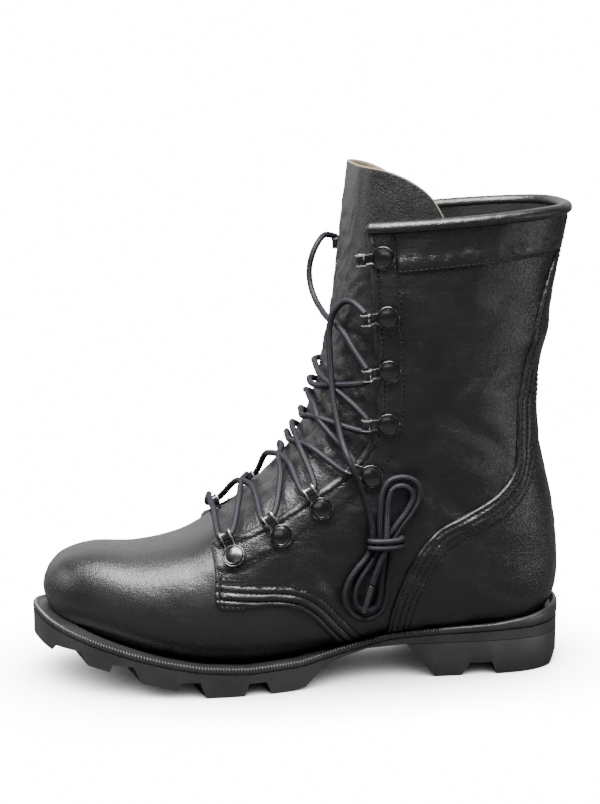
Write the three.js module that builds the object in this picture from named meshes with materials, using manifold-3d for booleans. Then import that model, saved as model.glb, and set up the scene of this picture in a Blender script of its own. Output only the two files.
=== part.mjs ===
// A black leather lace-up combat boot for the left foot, in millimetres, +Z up.
// +X points to the toe and +Y to the outer side of the foot. The origin lies on the floor
// under the middle of the heel's rear bar.
import * as THREE from "three";
import { mergeVertices } from "three/addons/utils/BufferGeometryUtils.js";
import Module from "manifold-3d";

const wasm = await Module();
wasm.setup();

// Overall sizes
const SOLE_LENGTH = 308;
const SOLE_WIDTH = 108;
const WELT_SHOW = 8;
const UPPER_WIDTH = SOLE_WIDTH - WELT_SHOW;
const COLLAR_HEIGHT = 256;
const HEEL_BACK = -25;
const COLLAR_RISE = 8;
// Where the collar's top edge is COLLAR_HEIGHT high, and where it is COLLAR_RISE higher.
const COLLAR_FRONT = 0.42;
const COLLAR_REAR = 0.06;
const SHAFT_MIDDLE = 0.22;

// Sole sizes
const HEEL_SEAT = 24.6;
const HEEL_BLOCK = 20;
const WELT_THICKNESS = 4;
const LUG_DEPTH = 7;
const LUG_GAP = 10.2;
const LUG_FLARE = 3.4;
const CHEVRON_SLANT = 0.28;
const RIM_SHARE = 0.163;
const RIB_PITCH = 7;
const RIB_DEPTH = 0.7;

// Wall and overlay sizes
const CLEARANCE = 0.35;
const WALL = 2.2;
const QUARTER = 1.2;
const OVERLAY = 1.3;
const TONGUE = 1.9;
const INSOLE = 3;
const MARGIN = 7;
const ROLL_RADIUS = 3.6;
const EYESTAY_WIDTH = 15;
const TONGUE_HEIGHT = 292;
const TONGUE_DEPTH = 16;

// Lace and lace loops
const LACE = 3.4;
const CAP_RADIUS = 5.4;
const RING_RADIUS = 6.6;
const PLATE = 1;
const CAP_HEIGHT = 2;
const NECK_WIDTH = 6.4;
const REACH = 12.1;
const BRACKET_DEPTH = 6;
const BRACKET_HEIGHT = 5.8;
const BRACKET_LENGTH = 6.2;
const BRACKET_WALL = 0.8;

const halfSole = SOLE_WIDTH / 2;
const halfUpper = UPPER_WIDTH / 2;
const alongSole = (share) => HEEL_BACK + share * SOLE_LENGTH;

// Sole stations: place along the length, outer and inner half width as shares of half the sole's
// width, and the deck and rim heights as shares of the heel seat.
const SOLE_STATIONS = [
  { at: 0, outer: 0, inner: 0, deck: 1.08, rim: 1.46 },
  { at: 0.008, outer: 0.26, inner: 0.26, deck: 1.08, rim: 1.46 },
  { at: 0.033, outer: 0.5, inner: 0.5, deck: 1.07, rim: 1.42 },
  { at: 0.075, outer: 0.64, inner: 0.63, deck: 1.05, rim: 1.32 },
  { at: 0.146, outer: 0.695, inner: 0.685, deck: 1.03, rim: 1.22 },
  { at: 0.244, outer: 0.69, inner: 0.66, deck: 1, rim: 1.163 },
  { at: 0.341, outer: 0.695, inner: 0.6, deck: 0.943, rim: 1.106 },
  { at: 0.422, outer: 0.76, inner: 0.585, deck: 0.756, rim: 0.919 },
  { at: 0.519, outer: 0.905, inner: 0.67, deck: 0.535, rim: 0.698 },
  { at: 0.617, outer: 0.995, inner: 0.84, deck: 0.484, rim: 0.647 },
  { at: 0.698, outer: 1, inner: 0.94, deck: 0.557, rim: 0.72 },
  { at: 0.763, outer: 0.955, inner: 0.96, deck: 0.695, rim: 0.858 },
  { at: 0.828, outer: 0.865, inner: 0.925, deck: 0.878, rim: 1.041 },
  { at: 0.893, outer: 0.69, inner: 0.845, deck: 1.077, rim: 1.24 },
  { at: 0.942, outer: 0.485, inner: 0.725, deck: 1.248, rim: 1.411 },
  { at: 0.974, outer: 0.25, inner: 0.58, deck: 1.37, rim: 1.533 },
  { at: 0.993, outer: -0.02, inner: 0.41, deck: 1.446, rim: 1.609 },
  { at: 1, outer: -0.22, inner: 0.22, deck: 1.47, rim: 1.633 },
];

// The tread's underside: place along the length and height as a share of the heel block.
const TREAD = [
  { at: 0.315, height: 1 },
  { at: 0.39, height: 0.97 },
  { at: 0.442, height: 0.78 },
  { at: 0.471, height: 0.62 },
  { at: 0.509, height: 0.07 },
  { at: 0.545, height: 0 },
  { at: 0.7, height: 0 },
  { at: 0.749, height: 0.22 },
  { at: 0.802, height: 0.4 },
  { at: 0.86, height: 0.66 },
  { at: 0.903, height: 0.78 },
  { at: 0.958, height: 0.95 },
  { at: 1.02, height: 1.18 },
];
// Middles of the forefoot's lug gaps at the edge, and of the heel's gap, along the length.
const LUG_GAPS = [0.597, 0.72, 0.832, 0.912];
const HEEL_GAP = 0.171;
const HEEL_GAP_WIDTH = 13;
const HEEL_GAP_FLARE = 5;
const HEEL_BREAST = { top: 0.313, bottom: 0.26 };

// Sections of the upper from the toe to above the collar. front and back are the two ends of a
// section along the length; frontRise and backRise are their heights between the sole and the
// collar; swing is the middle's shift to the outer side; outer and inner are the half widths, as
// shares of half the upper's width; widest is where along the section it is widest; crown and
// base are the roundness of its front and back half.
const SECTIONS = [
  { front: 0.981, frontRise: 0.068, back: 0.981, backRise: 0.068, swing: -0.23, outer: 0, inner: 0, widest: 0.5, crown: 0.85, base: 0.8 },
  { front: 0.976, frontRise: 0.098, back: 0.976, backRise: 0.04, swing: -0.23, outer: 0.22, inner: 0.22, widest: 0.5, crown: 0.8, base: 0.75 },
  { front: 0.962, frontRise: 0.136, back: 0.958, backRise: 0.004, swing: -0.225, outer: 0.4, inner: 0.4, widest: 0.53, crown: 0.75, base: 0.55 },
  { front: 0.935, frontRise: 0.172, back: 0.932, backRise: 0, swing: -0.2, outer: 0.57, inner: 0.57, widest: 0.55, crown: 0.7, base: 0.42 },
  { front: 0.883, frontRise: 0.203, back: 0.88, backRise: 0, swing: -0.165, outer: 0.75, inner: 0.755, widest: 0.56, crown: 0.68, base: 0.36 },
  { front: 0.805, frontRise: 0.224, back: 0.803, backRise: 0, swing: -0.07, outer: 0.9, inner: 0.88, widest: 0.57, crown: 0.67, base: 0.34 },
  { front: 0.722, frontRise: 0.264, back: 0.72, backRise: 0, swing: -0.01, outer: 0.985, inner: 0.95, widest: 0.58, crown: 0.66, base: 0.33 },
  { front: 0.656, frontRise: 0.318, back: 0.65, backRise: 0, swing: 0, outer: 1.01, inner: 0.97, widest: 0.58, crown: 0.64, base: 0.33 },
  { front: 0.596, frontRise: 0.39, back: 0.575, backRise: 0, swing: 0, outer: 1.0, inner: 0.95, widest: 0.58, crown: 0.6, base: 0.33 },
  { front: 0.543, frontRise: 0.45, back: 0.46, backRise: 0, swing: 0, outer: 0.97, inner: 0.92, widest: 0.56, crown: 0.56, base: 0.35 },
  { front: 0.508, frontRise: 0.508, back: 0.33, backRise: 0, swing: 0, outer: 0.93, inner: 0.89, widest: 0.53, crown: 0.52, base: 0.38 },
  { front: 0.487, frontRise: 0.562, back: 0.19, backRise: 0, swing: 0, outer: 0.9, inner: 0.87, widest: 0.5, crown: 0.48, base: 0.42 },
  { front: 0.475, frontRise: 0.615, back: 0.075, backRise: 0, swing: 0, outer: 0.88, inner: 0.86, widest: 0.48, crown: 0.45, base: 0.5 },
  { front: 0.464, frontRise: 0.67, back: 0.016, backRise: 0.08, swing: 0, outer: 0.87, inner: 0.86, widest: 0.48, crown: 0.44, base: 0.7 },
  { front: 0.455, frontRise: 0.722, back: 0.022, backRise: 0.27, swing: 0, outer: 0.87, inner: 0.86, widest: 0.48, crown: 0.42, base: 0.74 },
  { front: 0.446, frontRise: 0.782, back: 0.055, backRise: 0.465, swing: 0, outer: 0.88, inner: 0.87, widest: 0.48, crown: 0.4, base: 0.74 },
  { front: 0.438, frontRise: 0.845, back: 0.062, backRise: 0.62, swing: 0, outer: 0.89, inner: 0.88, widest: 0.47, crown: 0.39, base: 0.72 },
  { front: 0.43, frontRise: 0.925, back: 0.042, backRise: 0.81, swing: 0, outer: 0.905, inner: 0.895, widest: 0.47, crown: 0.38, base: 0.68 },
  { front: 0.422, frontRise: 1.02, back: 0.016, backRise: 1.03, swing: 0, outer: 0.92, inner: 0.91, widest: 0.47, crown: 0.38, base: 0.66 },
  { front: 0.408, frontRise: 1.19, back: 0, backRise: 1.19, swing: 0, outer: 0.92, inner: 0.91, widest: 0.47, crown: 0.4, base: 0.66 },
];

// Side-view lines on the upper, each from the sole or the throat upwards: place along the length
// and rise between the sole and the collar.
const THROAT_EDGE = [
  { at: 0.66, rise: 0.29 },
  { at: 0.63, rise: 0.307 },
  { at: 0.568, rise: 0.344 },
  { at: 0.503, rise: 0.39 },
  { at: 0.436, rise: 0.438 },
  { at: 0.402, rise: 0.478 },
  { at: 0.378, rise: 0.54 },
  { at: 0.373, rise: 0.61 },
  { at: 0.377, rise: 0.72 },
  { at: 0.382, rise: 0.86 },
  { at: 0.39, rise: 0.97 },
  { at: 0.403, rise: 1.05 },
];
const QUARTER_FRONT = [
  { at: 0.36, rise: -0.1 },
  { at: 0.42, rise: -0.02 },
  { at: 0.465, rise: 0.055 },
  { at: 0.52, rise: 0.135 },
  { at: 0.61, rise: 0.153 },
  { at: 0.668, rise: 0.156 },
  { at: 0.672, rise: 0.23 },
  { at: 0.676, rise: 0.283 },
];
const COUNTER_FRONT = [
  { at: 0.345, rise: -0.1 },
  { at: 0.352, rise: 0.03 },
  { at: 0.345, rise: 0.1 },
  { at: 0.325, rise: 0.17 },
  { at: 0.297, rise: 0.235 },
  { at: 0.255, rise: 0.285 },
  { at: 0.2, rise: 0.32 },
  { at: 0.145, rise: 0.365 },
  { at: 0.12, rise: 0.41 },
  { at: 0.115, rise: 0.48 },
  { at: 0.112, rise: 0.58 },
  { at: 0.096, rise: 0.7 },
  { at: 0.07, rise: 0.84 },
  { at: 0.04, rise: 0.94 },
  { at: 0.028, rise: 1.02 },
];
const EYESTAY_TOE = { at: 0.674, rise: 0.281 };
const EYESTAY_HEEL = { at: 0.67, rise: 0.222 };
const CUFF_BAND = 0.9;
const CUFF_SLOPE = 0.12;

// Lace loops from the toe up, on each side: the rivet's place along the length and its rise, and
// the strap's lean above the forward direction in the side view, in degrees.
const LACE_LOOPS = [
  { at: 0.637, rise: 0.272, lean: 66 },
  { at: 0.553, rise: 0.318, lean: 56 },
  { at: 0.48, rise: 0.37, lean: 58 },
  { at: 0.389, rise: 0.43, lean: 26 },
  { at: 0.357, rise: 0.548, lean: 2 },
  { at: 0.3565, rise: 0.676, lean: -7 },
  { at: 0.36, rise: 0.805, lean: -4 },
  { at: 0.368, rise: 0.945, lean: -6 },
];

// Lace crossings over the tongue. Each strand runs from one loop's mouth to another's, named by
// side, loop and the mouth's end, over points chosen by hand on the sizes in DRAWN. The points
// keep their shares of the sole's length, the upper's width and the collar's height.
const DRAWN = { length: 308, width: 100, height: 256 };
const CROSSINGS = {
  lace_bar: [
    {
      from: ["outer", 1, "toe"],
      to: ["inner", 1, "toe"],
      over: [
        [180.5, 28, 95.5], [180, 14.5, 99], [181, 1, 101], [180, -12.5, 100], [180.5, -25.5, 96.5],
      ],
    },
  ],
  lace_crossing_1: [
    {
      from: ["outer", 1, "collar"],
      to: ["inner", 2, "toe"],
      over: [
        [167.5, 30.5, 100], [166, 20, 104], [164, 10, 108.5], [161.5, -0.5, 111.5], [158, -11.5, 111],
        [157, -22, 108.5], [159, -32, 104],
      ],
    },
    {
      from: ["inner", 1, "collar"],
      to: ["outer", 2, "toe"],
      over: [
        [167.5, -29, 100.5], [165.5, -18.5, 104.5], [164, -8.5, 108.5], [162, 2.5, 111], [158.5, 13, 111.5],
        [157, 23.5, 109], [159, 33.5, 104],
      ],
    },
  ],
  lace_crossing_2: [
    {
      from: ["outer", 2, "collar"],
      to: ["inner", 3, "toe"],
      over: [
        [144.5, 34, 114.5], [142.5, 24, 120], [142, 13, 124], [140.5, 1.5, 126.5], [137.5, -9.5, 128],
        [137.3, -22.3, 127], [137, -31, 119.5],
      ],
    },
    {
      from: ["inner", 2, "collar"],
      to: ["outer", 3, "toe"],
      over: [
        [146.5, -31.5, 114.5], [146, -21.5, 120.5], [144.5, -10.5, 124], [142, 0.5, 126], [139, 12, 126],
        [137.5, 24, 125.5], [136.5, 34, 118],
      ],
    },
  ],
  lace_crossing_3: [
    {
      from: ["outer", 3, "collar"],
      to: ["inner", 4, "toe"],
      over: [
        [130, 33.3, 128.3], [131.8, 22.3, 135.7], [131.5, 9.5, 137.5], [132, -2.5, 139.5], [130.7, -16.5, 140.5],
        [126.7, -28.7, 137], [118, -37, 128],
      ],
    },
    {
      from: ["inner", 3, "collar"],
      to: ["outer", 4, "toe"],
      over: [
        [130, -31.8, 128.8], [133.3, -20.5, 134.3], [134, -7, 133], [133.5, 5, 134.5], [131, 17.5, 136],
        [127, 30, 136.5], [118.5, 37.5, 128],
      ],
    },
  ],
  lace_crossing_4: [
    {
      from: ["outer", 4, "collar"],
      to: ["inner", 5, "toe"],
      over: [
        [114.5, 36.5, 140.5], [121, 28.5, 150.5], [122.5, 16, 157.5], [122.5, 2.5, 158], [122.5, -11, 160],
        [120.5, -25, 157.5], [111.5, -34, 150.5],
      ],
    },
    {
      from: ["inner", 4, "collar"],
      to: ["outer", 5, "toe"],
      over: [
        [113.5, -35.5, 140.5], [123.5, -26.5, 146.5], [126, -12, 148.5], [127, 1, 148], [125, 13.5, 150.5],
        [121.5, 27, 152], [110, 38, 147],
      ],
    },
  ],
  lace_crossing_5: [
    {
      from: ["outer", 5, "collar"],
      to: ["inner", 6, "toe"],
      over: [
        [107.5, 34.5, 165.5], [115.5, 26.8, 171.5], [118.5, 14, 174], [118.5, 1.5, 175], [118, -10.5, 176.5],
        [116, -23.8, 176.5], [108, -33, 172.5],
      ],
    },
    {
      from: ["inner", 5, "collar"],
      to: ["outer", 6, "toe"],
      over: [
        [109, -34, 162], [118, -25, 165], [121, -12, 166], [121.5, 0, 166.5], [120, 12, 167.5],
        [117, 24.8, 170], [108.5, 33.5, 170],
      ],
    },
  ],
};

// The slack strand from the inner top loop to the outer sixth, and the free end from the outer
// seventh loop down to its tied hank, over points chosen by hand.
const SLACK_STRAND = { from: ["inner", 8, "collar"], to: ["outer", 6, "collar"] };
const SLACK_ROUTE = [[108.5, -36, 247], [113, -30.5, 244], [117, -28, 237], [119, -27.5, 228], [118.5, -25, 219],
  [116.5, -18, 211.5], [115, -8, 208], [114.5, 3, 206.5], [113.5, 13, 205.5], [111, 24, 204], [107.5, 32, 199.5],
  [103.5, 38.5, 192]];
const END_ROUTE = [[104.5, 38, 218.5], [108.5, 31, 217.5], [113.5, 27.5, 211], [115.5, 26.5, 202], [115.5, 28, 190],
  [115, 30.5, 178], [114.5, 34.5, 165], [112.7, 40, 152], [111, 46, 142], [108.5, 52.5, 134], [105.8, 54, 127.5],
  [102.5, 52.5, 119], [99.5, 50.8, 110.5], [96.5, 49.8, 101], [94.6, 49.7, 94], [94.3, 49.7, 90]];
const TIP_ROUTE = [[94.5, 52.3, 61.5], [99.3, 50.9, 44.5]];
const TIP_RADIUS = 1.2;

// Side-view outlines of the tied hank: its loops above the wraps, the wraps and its loops below.
const HANK_LOOPS_ABOVE = [[90.6, 90.2], [90.4, 105], [88.5, 113.5], [83.5, 120], [75, 121.8], [66.5, 117.5], [64, 109.5],
  [67, 100.5], [73.5, 93], [78, 90.2]];
const HANK_WRAPS = [[96.5, 89.2], [96.5, 81], [77, 80.4], [77, 88.6]];
const HANK_LOOPS_BELOW = [[95, 80.2], [102, 73], [108, 66], [111.5, 58], [111.5, 49.5], [107, 42.5], [99, 37], [92, 36.5],
  [87, 41], [84.7, 50], [84.7, 63], [85, 79.8]];
const WRAP_THICKNESS = 6.6;

const leather = new THREE.MeshStandardMaterial({ color: 0x1b1b1e, roughness: 0.42, metalness: 0 });
const tongueLeather = new THREE.MeshStandardMaterial({ color: 0x202022, roughness: 0.55, metalness: 0 });
const rubber = new THREE.MeshStandardMaterial({ color: 0x222223, roughness: 0.7, metalness: 0 });
const enamel = new THREE.MeshStandardMaterial({ color: 0x0c0c0e, roughness: 0.25, metalness: 0.6 });
const cord = new THREE.MeshStandardMaterial({ color: 0x17171d, roughness: 0.85, metalness: 0 });
const board = new THREE.MeshStandardMaterial({ color: 0x3a3532, roughness: 0.8, metalness: 0 });

// Reads a column of a table at any place along the length, in straight steps.
function readColumn(rows, column, share) {
  const next = rows.findIndex((row) => row.at >= share);
  if (next <= 0) return rows[next < 0 ? rows.length - 1 : 0][column];
  const low = rows[next - 1];
  const high = rows[next];
  const blend = (share - low.at) / (high.at - low.at);
  return low[column] + blend * (high[column] - low[column]);
}

const deckAt = (share) => HEEL_SEAT * readColumn(SOLE_STATIONS, "deck", share);
const rimAt = (share) => deckAt(share) + rimAbove(share);
const rimAbove = (share) => {
  const station = readColumn(SOLE_STATIONS, "rim", share) - readColumn(SOLE_STATIONS, "deck", share);
  return WELT_THICKNESS + (station - RIM_SHARE) * HEEL_SEAT;
};
const seatAt = (share) => deckAt(share) + CLEARANCE;
const riseToHeight = (share, rise) => {
  const seat = seatAt(share);
  return seat + rise * (COLLAR_HEIGHT - seat);
};
const sidePoint = ({ at, rise }) => new THREE.Vector2(alongSole(at), riseToHeight(at, rise));

// Turns a three.js geometry into a solid.
function solidOf(geometry) {
  const bare = new THREE.BufferGeometry();
  bare.setAttribute("position", geometry.getAttribute("position"));
  if (geometry.index) bare.setIndex(geometry.index);
  const merged = mergeVertices(bare, 1e-4);
  return new wasm.Manifold(
    new wasm.Mesh({
      numProp: 3,
      vertProperties: new Float32Array(merged.attributes.position.array),
      triVerts: new Uint32Array(merged.index.array),
    }),
  );
}

function geometryOf(solid) {
  const { vertProperties, triVerts } = solid.getMesh();
  const geometry = new THREE.BufferGeometry();
  geometry.setAttribute("position", new THREE.BufferAttribute(vertProperties, 3));
  geometry.setIndex(new THREE.BufferAttribute(triVerts, 1));
  geometry.computeVertexNormals();
  return geometry;
}

const boot = new THREE.Group();

function addPiece(name, solid, material) {
  const piece = new THREE.Mesh(geometryOf(solid), material);
  piece.name = name;
  boot.add(piece);
  return piece;
}

// A side-view outline drawn through the width, from inner to outer.
function sideSlab(points, inner = -SOLE_WIDTH, outer = SOLE_WIDTH) {
  const shape = new THREE.Shape(points);
  const slab = new THREE.ExtrudeGeometry(shape, { depth: outer - inner, bevelEnabled: false });
  slab.rotateX(Math.PI / 2);
  slab.translate(0, outer, 0);
  return solidOf(slab);
}

// A plan outline drawn upwards from one height to another.
function planSlab(points, low, high) {
  const slab = new THREE.ExtrudeGeometry(new THREE.Shape(points), { depth: high - low, bevelEnabled: false });
  slab.translate(0, 0, low);
  return solidOf(slab);
}

// A smooth row of values between the rows of a table.
function smoothValue(values, place) {
  const last = values.length - 1;
  const index = Math.min(Math.floor(place), last - 1);
  const t = place - index;
  const a = values[index];
  const b = values[index + 1];
  const before = index > 0 ? values[index - 1] : 2 * a - b;
  const after = index + 2 <= last ? values[index + 2] : 2 * b - a;
  const slopeA = (b - before) / 2;
  const slopeB = (after - a) / 2;
  const t2 = t * t;
  const t3 = t2 * t;
  return (2 * t3 - 3 * t2 + 1) * a + (t3 - 2 * t2 + t) * slopeA + (3 * t2 - 2 * t3) * b + (t3 - t2) * slopeB;
}

const sectionColumns = {
  frontX: SECTIONS.map((row) => alongSole(row.front)),
  frontZ: SECTIONS.map((row) => riseToHeight(row.front, row.frontRise)),
  backX: SECTIONS.map((row) => alongSole(row.back)),
  backZ: SECTIONS.map((row) => riseToHeight(row.back, row.backRise)),
  swing: SECTIONS.map((row) => row.swing * halfUpper),
  outer: SECTIONS.map((row) => row.outer * halfUpper),
  inner: SECTIONS.map((row) => row.inner * halfUpper),
  widest: SECTIONS.map((row) => row.widest),
  crown: SECTIONS.map((row) => row.crown),
  base: SECTIONS.map((row) => row.base),
};

// A point of the upper: place runs over the section rows, turn from 0 at the front or top
// middle to 1 at the back or bottom middle, and side is 1 outside and -1 inside.
function upperPoint(place, turn, side) {
  const row = {};
  for (const [name, values] of Object.entries(sectionColumns)) row[name] = smoothValue(values, place);
  const angle = Math.PI * turn;
  const along =
    angle < Math.PI / 2
      ? row.widest * (1 - Math.cos(angle))
      : row.widest - (1 - row.widest) * Math.cos(angle);
  const bow = Math.pow(Math.max(Math.sin(angle), 0), angle < Math.PI / 2 ? row.crown : row.base);
  const half = Math.max(side > 0 ? row.outer : row.inner, 0);
  const ends = turn === 0 || turn === 1;
  return new THREE.Vector3(
    row.frontX + along * (row.backX - row.frontX),
    row.swing + (ends ? 0 : side * half * bow),
    row.frontZ + along * (row.backZ - row.frontZ),
  );
}

// Turn values that space the points of a section evenly where its corners are tight.
function turnSteps(count) {
  return Array.from({ length: count + 1 }, (_, i) => {
    const even = i / count;
    return even - 0.055 * Math.sin(2 * Math.PI * even) - 0.03 * Math.sin(4 * Math.PI * even);
  });
}

// Where the upper's rows of points lie: two to a section over the foot, one in the shaft.
const RING_STEPS = 12;
const INNER_RING_STEPS = 10;
const SHAFT_SECTION = 10;
const COARSE_PLACES = SECTIONS.map((_, i) => i).slice(1);
const FINE_PLACES = COARSE_PLACES.flatMap((place) => (place <= SHAFT_SECTION ? [place - 0.5, place] : [place]));

// The closed form of the upper, offset outwards by lift along its own normals.
function upperForm(lift, places = FINE_PLACES, ringSteps = RING_STEPS) {
  const rows = places.length;
  const turns = turnSteps(ringSteps);
  const loop = [...turns.map((turn) => [turn, 1]), ...turns.slice(1, -1).reverse().map((turn) => [turn, -1])];
  const size = loop.length;
  const positions = [];
  for (const place of places)
    for (const [turn, side] of loop) positions.push(upperPoint(place, turn, side));
  const pole = positions.push(upperPoint(0, 0, 1)) - 1;
  const faces = [];
  for (let i = 0; i < rows - 1; i++)
    for (let j = 0; j < size; j++) {
      const a = i * size + j;
      const b = i * size + ((j + 1) % size);
      faces.push([a, b, a + size], [b, b + size, a + size]);
    }
  for (let j = 0; j < size; j++) faces.push([pole, (j + 1) % size, j]);
  const normals = positions.map(() => new THREE.Vector3());
  for (const [a, b, c] of faces) {
    const u = positions[b].clone().sub(positions[a]);
    const v = positions[c].clone().sub(positions[a]);
    const normal = u.cross(v);
    for (const corner of [a, b, c]) normals[corner].add(normal);
  }
  const lifted = positions.map((point, i) => point.clone().addScaledVector(normals[i].normalize(), lift));
  const lastRow = (rows - 1) * size;
  const middle = new THREE.Vector3();
  for (let j = 0; j < size; j++) middle.add(lifted[lastRow + j]);
  const cap = lifted.push(middle.divideScalar(size)) - 1;
  for (let j = 0; j < size; j++) faces.push([cap, lastRow + j, lastRow + ((j + 1) % size)]);
  const geometry = new THREE.BufferGeometry();
  geometry.setAttribute("position", new THREE.Float32BufferAttribute(lifted.flatMap((p) => [p.x, p.y, p.z]), 3));
  geometry.setIndex(faces.flat());
  return solidOf(geometry);
}

// The sole's plan outline, as a smooth closed curve moved inwards by inset.
function soleOutline(steps, inset = 0) {
  const outer = SOLE_STATIONS.map((s) => new THREE.Vector2(alongSole(s.at), s.outer * halfSole));
  const inner = SOLE_STATIONS.slice(1, -1).map((s) => new THREE.Vector2(alongSole(s.at), -s.inner * halfSole));
  const flat = [...outer, ...inner.reverse()].map((p) => new THREE.Vector3(p.x, p.y, 0));
  const curve = new THREE.CatmullRomCurve3(flat, true, "centripetal");
  return curve.getSpacedPoints(steps).slice(0, -1).map((point, i) => {
    const tangent = curve.getTangentAt(i / steps);
    return new THREE.Vector2(point.x + tangent.y * inset, point.y - tangent.x * inset);
  });
}

const PAST_END = 0.03;
const DEEP = 60;

// A height function drawn along the sole, with a point at each station.
function soleLine(height) {
  const places = [-PAST_END, ...SOLE_STATIONS.map((station) => station.at), 1 + PAST_END];
  return places.map((share) => new THREE.Vector2(alongSole(share), height(share)));
}

// Everything above, or below, a height line that runs along the sole.
function aboveLine(height, top) {
  const line = soleLine(height);
  const first = line[0];
  const last = line[line.length - 1];
  return sideSlab([...line, new THREE.Vector2(last.x, top), new THREE.Vector2(first.x, top)]);
}
function belowLine(height) {
  const line = soleLine(height);
  const first = line[0];
  const last = line[line.length - 1];
  return sideSlab([new THREE.Vector2(first.x, -DEEP), new THREE.Vector2(last.x, -DEEP), ...line.reverse()]);
}

// Sole
const soleBlank = planSlab(soleOutline(64), -DEEP, DEEP);
function makeOutsole() {
  const top = soleLine(deckAt).reverse();
  const tread = TREAD.map((row) => new THREE.Vector2(alongSole(row.at), row.height * HEEL_BLOCK));
  const rear = new THREE.Vector2(alongSole(-PAST_END), HEEL_BLOCK);
  let sole = soleBlank.intersect(sideSlab([rear, ...tread, ...top]));
  for (const gap of LUG_GAPS)
    for (const side of [1, -1]) sole = sole.subtract(lugChannel(gap, side));
  return sole;
}
function lugChannel(gap, side) {
  const floor = HEEL_BLOCK * readColumn(TREAD, "height", gap);
  const middle = alongSole(gap);
  const reach = SOLE_WIDTH * 0.6;
  const spread = LUG_FLARE * 1.6;
  const profile = [
    new THREE.Vector2(middle - LUG_GAP / 2, floor + LUG_DEPTH),
    new THREE.Vector2(middle - LUG_GAP / 2 - spread, floor - LUG_DEPTH),
    new THREE.Vector2(middle + LUG_GAP / 2 + spread, floor - LUG_DEPTH),
    new THREE.Vector2(middle + LUG_GAP / 2, floor + LUG_DEPTH),
  ];
  const bar = new THREE.ExtrudeGeometry(new THREE.Shape(profile), { depth: reach, bevelEnabled: false });
  bar.rotateX(Math.PI / 2);
  bar.translate(0, reach, 0);
  const slant = new THREE.Matrix4().makeShear(0, 0, -CHEVRON_SLANT, 0, 0, 0);
  bar.applyMatrix4(slant);
  bar.translate(CHEVRON_SLANT * halfSole, 0, 0);
  const solid = solidOf(bar);
  return side > 0 ? solid : solid.mirror([0, 1, 0]);
}
function makeHeel() {
  const top = HEEL_BLOCK - CLEARANCE;
  const middle = alongSole(HEEL_GAP);
  const half = HEEL_GAP_WIDTH / 2;
  const lipHeight = 5;
  const profile = [
    new THREE.Vector2(alongSole(-PAST_END), top),
    new THREE.Vector2(alongSole(-PAST_END), lipHeight),
    new THREE.Vector2(alongSole(0.013), lipHeight),
    new THREE.Vector2(alongSole(0.028), 0),
    new THREE.Vector2(middle - half - HEEL_GAP_FLARE * 0.5, 0),
    new THREE.Vector2(middle - half, LUG_DEPTH),
    new THREE.Vector2(middle + half, LUG_DEPTH),
    new THREE.Vector2(middle + half + HEEL_GAP_FLARE, 0),
    new THREE.Vector2(alongSole(HEEL_BREAST.bottom), 0),
    new THREE.Vector2(alongSole(HEEL_BREAST.top), top),
  ];
  return soleBlank.intersect(sideSlab(profile));
}

// The forms that the upper, its overlays and what touches them are cut from
const outerForm = upperForm(0);
const innerForm = (lift) => upperForm(lift, COARSE_PLACES, INNER_RING_STEPS);
const hollow = innerForm(-WALL);

const collarLine = (drop) => [
  new THREE.Vector2(alongSole(-0.1), COLLAR_HEIGHT + COLLAR_RISE * 1.3 - drop),
  new THREE.Vector2(alongSole(COLLAR_REAR), COLLAR_HEIGHT + COLLAR_RISE - drop),
  new THREE.Vector2(alongSole(COLLAR_FRONT), COLLAR_HEIGHT - drop),
  new THREE.Vector2(alongSole(0.55), COLLAR_HEIGHT - drop),
];
const belowCollar = (drop) =>
  sideSlab([
    new THREE.Vector2(alongSole(-0.1), -DEEP),
    new THREE.Vector2(alongSole(1.1), -DEEP),
    new THREE.Vector2(alongSole(1.1), COLLAR_HEIGHT - drop),
    ...collarLine(drop).reverse(),
  ]);
const HIGH = COLLAR_HEIGHT * 1.5;
const throatCut = sideSlab([
  ...THROAT_EDGE.map(sidePoint),
  new THREE.Vector2(alongSole(0.41), HIGH),
  new THREE.Vector2(alongSole(1), HIGH),
  new THREE.Vector2(alongSole(0.66), riseToHeight(0.66, 0.5)),
]);
function quarterRegion(setback) {
  const line = QUARTER_FRONT.map(sidePoint).map((p) => new THREE.Vector2(p.x - setback, p.y));
  return sideSlab([
    ...line,
    new THREE.Vector2(alongSole(0.66) - setback, riseToHeight(0.66, 0.3)),
    new THREE.Vector2(alongSole(0.6) - setback, HIGH),
    new THREE.Vector2(alongSole(-0.1), HIGH),
    new THREE.Vector2(alongSole(-0.1), -DEEP),
  ]);
}
function counterRegion(setback) {
  const line = COUNTER_FRONT.map(sidePoint).map((p) => new THREE.Vector2(p.x + setback, p.y + setback));
  return sideSlab([...line, new THREE.Vector2(alongSole(-0.1), HIGH), new THREE.Vector2(alongSole(-0.1), -DEEP)]);
}
const aboveSeat = aboveLine(seatAt, HIGH);

const SEAT_MARGIN = MARGIN + 4;
function makeUpper() {
  const quarters = upperForm(QUARTER).intersect(quarterRegion(0));
  const skin = outerForm.add(quarters).intersect(aboveSeat).subtract(hollow);
  const underneath = planSlab(soleOutline(40, SEAT_MARGIN), -DEEP, DEEP).intersect(
    belowLine((share) => seatAt(share) + WALL + 1),
  );
  return skin.subtract(throatCut).subtract(underneath).intersect(belowCollar(0));
}

// An overlay lies on the upper between two lifts, inside a side-view region.
function overlay(region, thickness = OVERLAY) {
  const low = QUARTER + CLEARANCE;
  const sheet = upperForm(low + thickness).subtract(upperForm(low));
  return sheet.intersect(region).intersect(aboveSeat).intersect(belowCollar(CLEARANCE));
}
const outside = planSlab(
  [[-1, 0], [2, 0], [2, 1], [-1, 1]].map(([x, y]) => new THREE.Vector2(x * SOLE_LENGTH, y * SOLE_WIDTH)),
  -DEEP,
  HIGH,
);
const inside = outside.mirror([0, 1, 0]);

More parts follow.
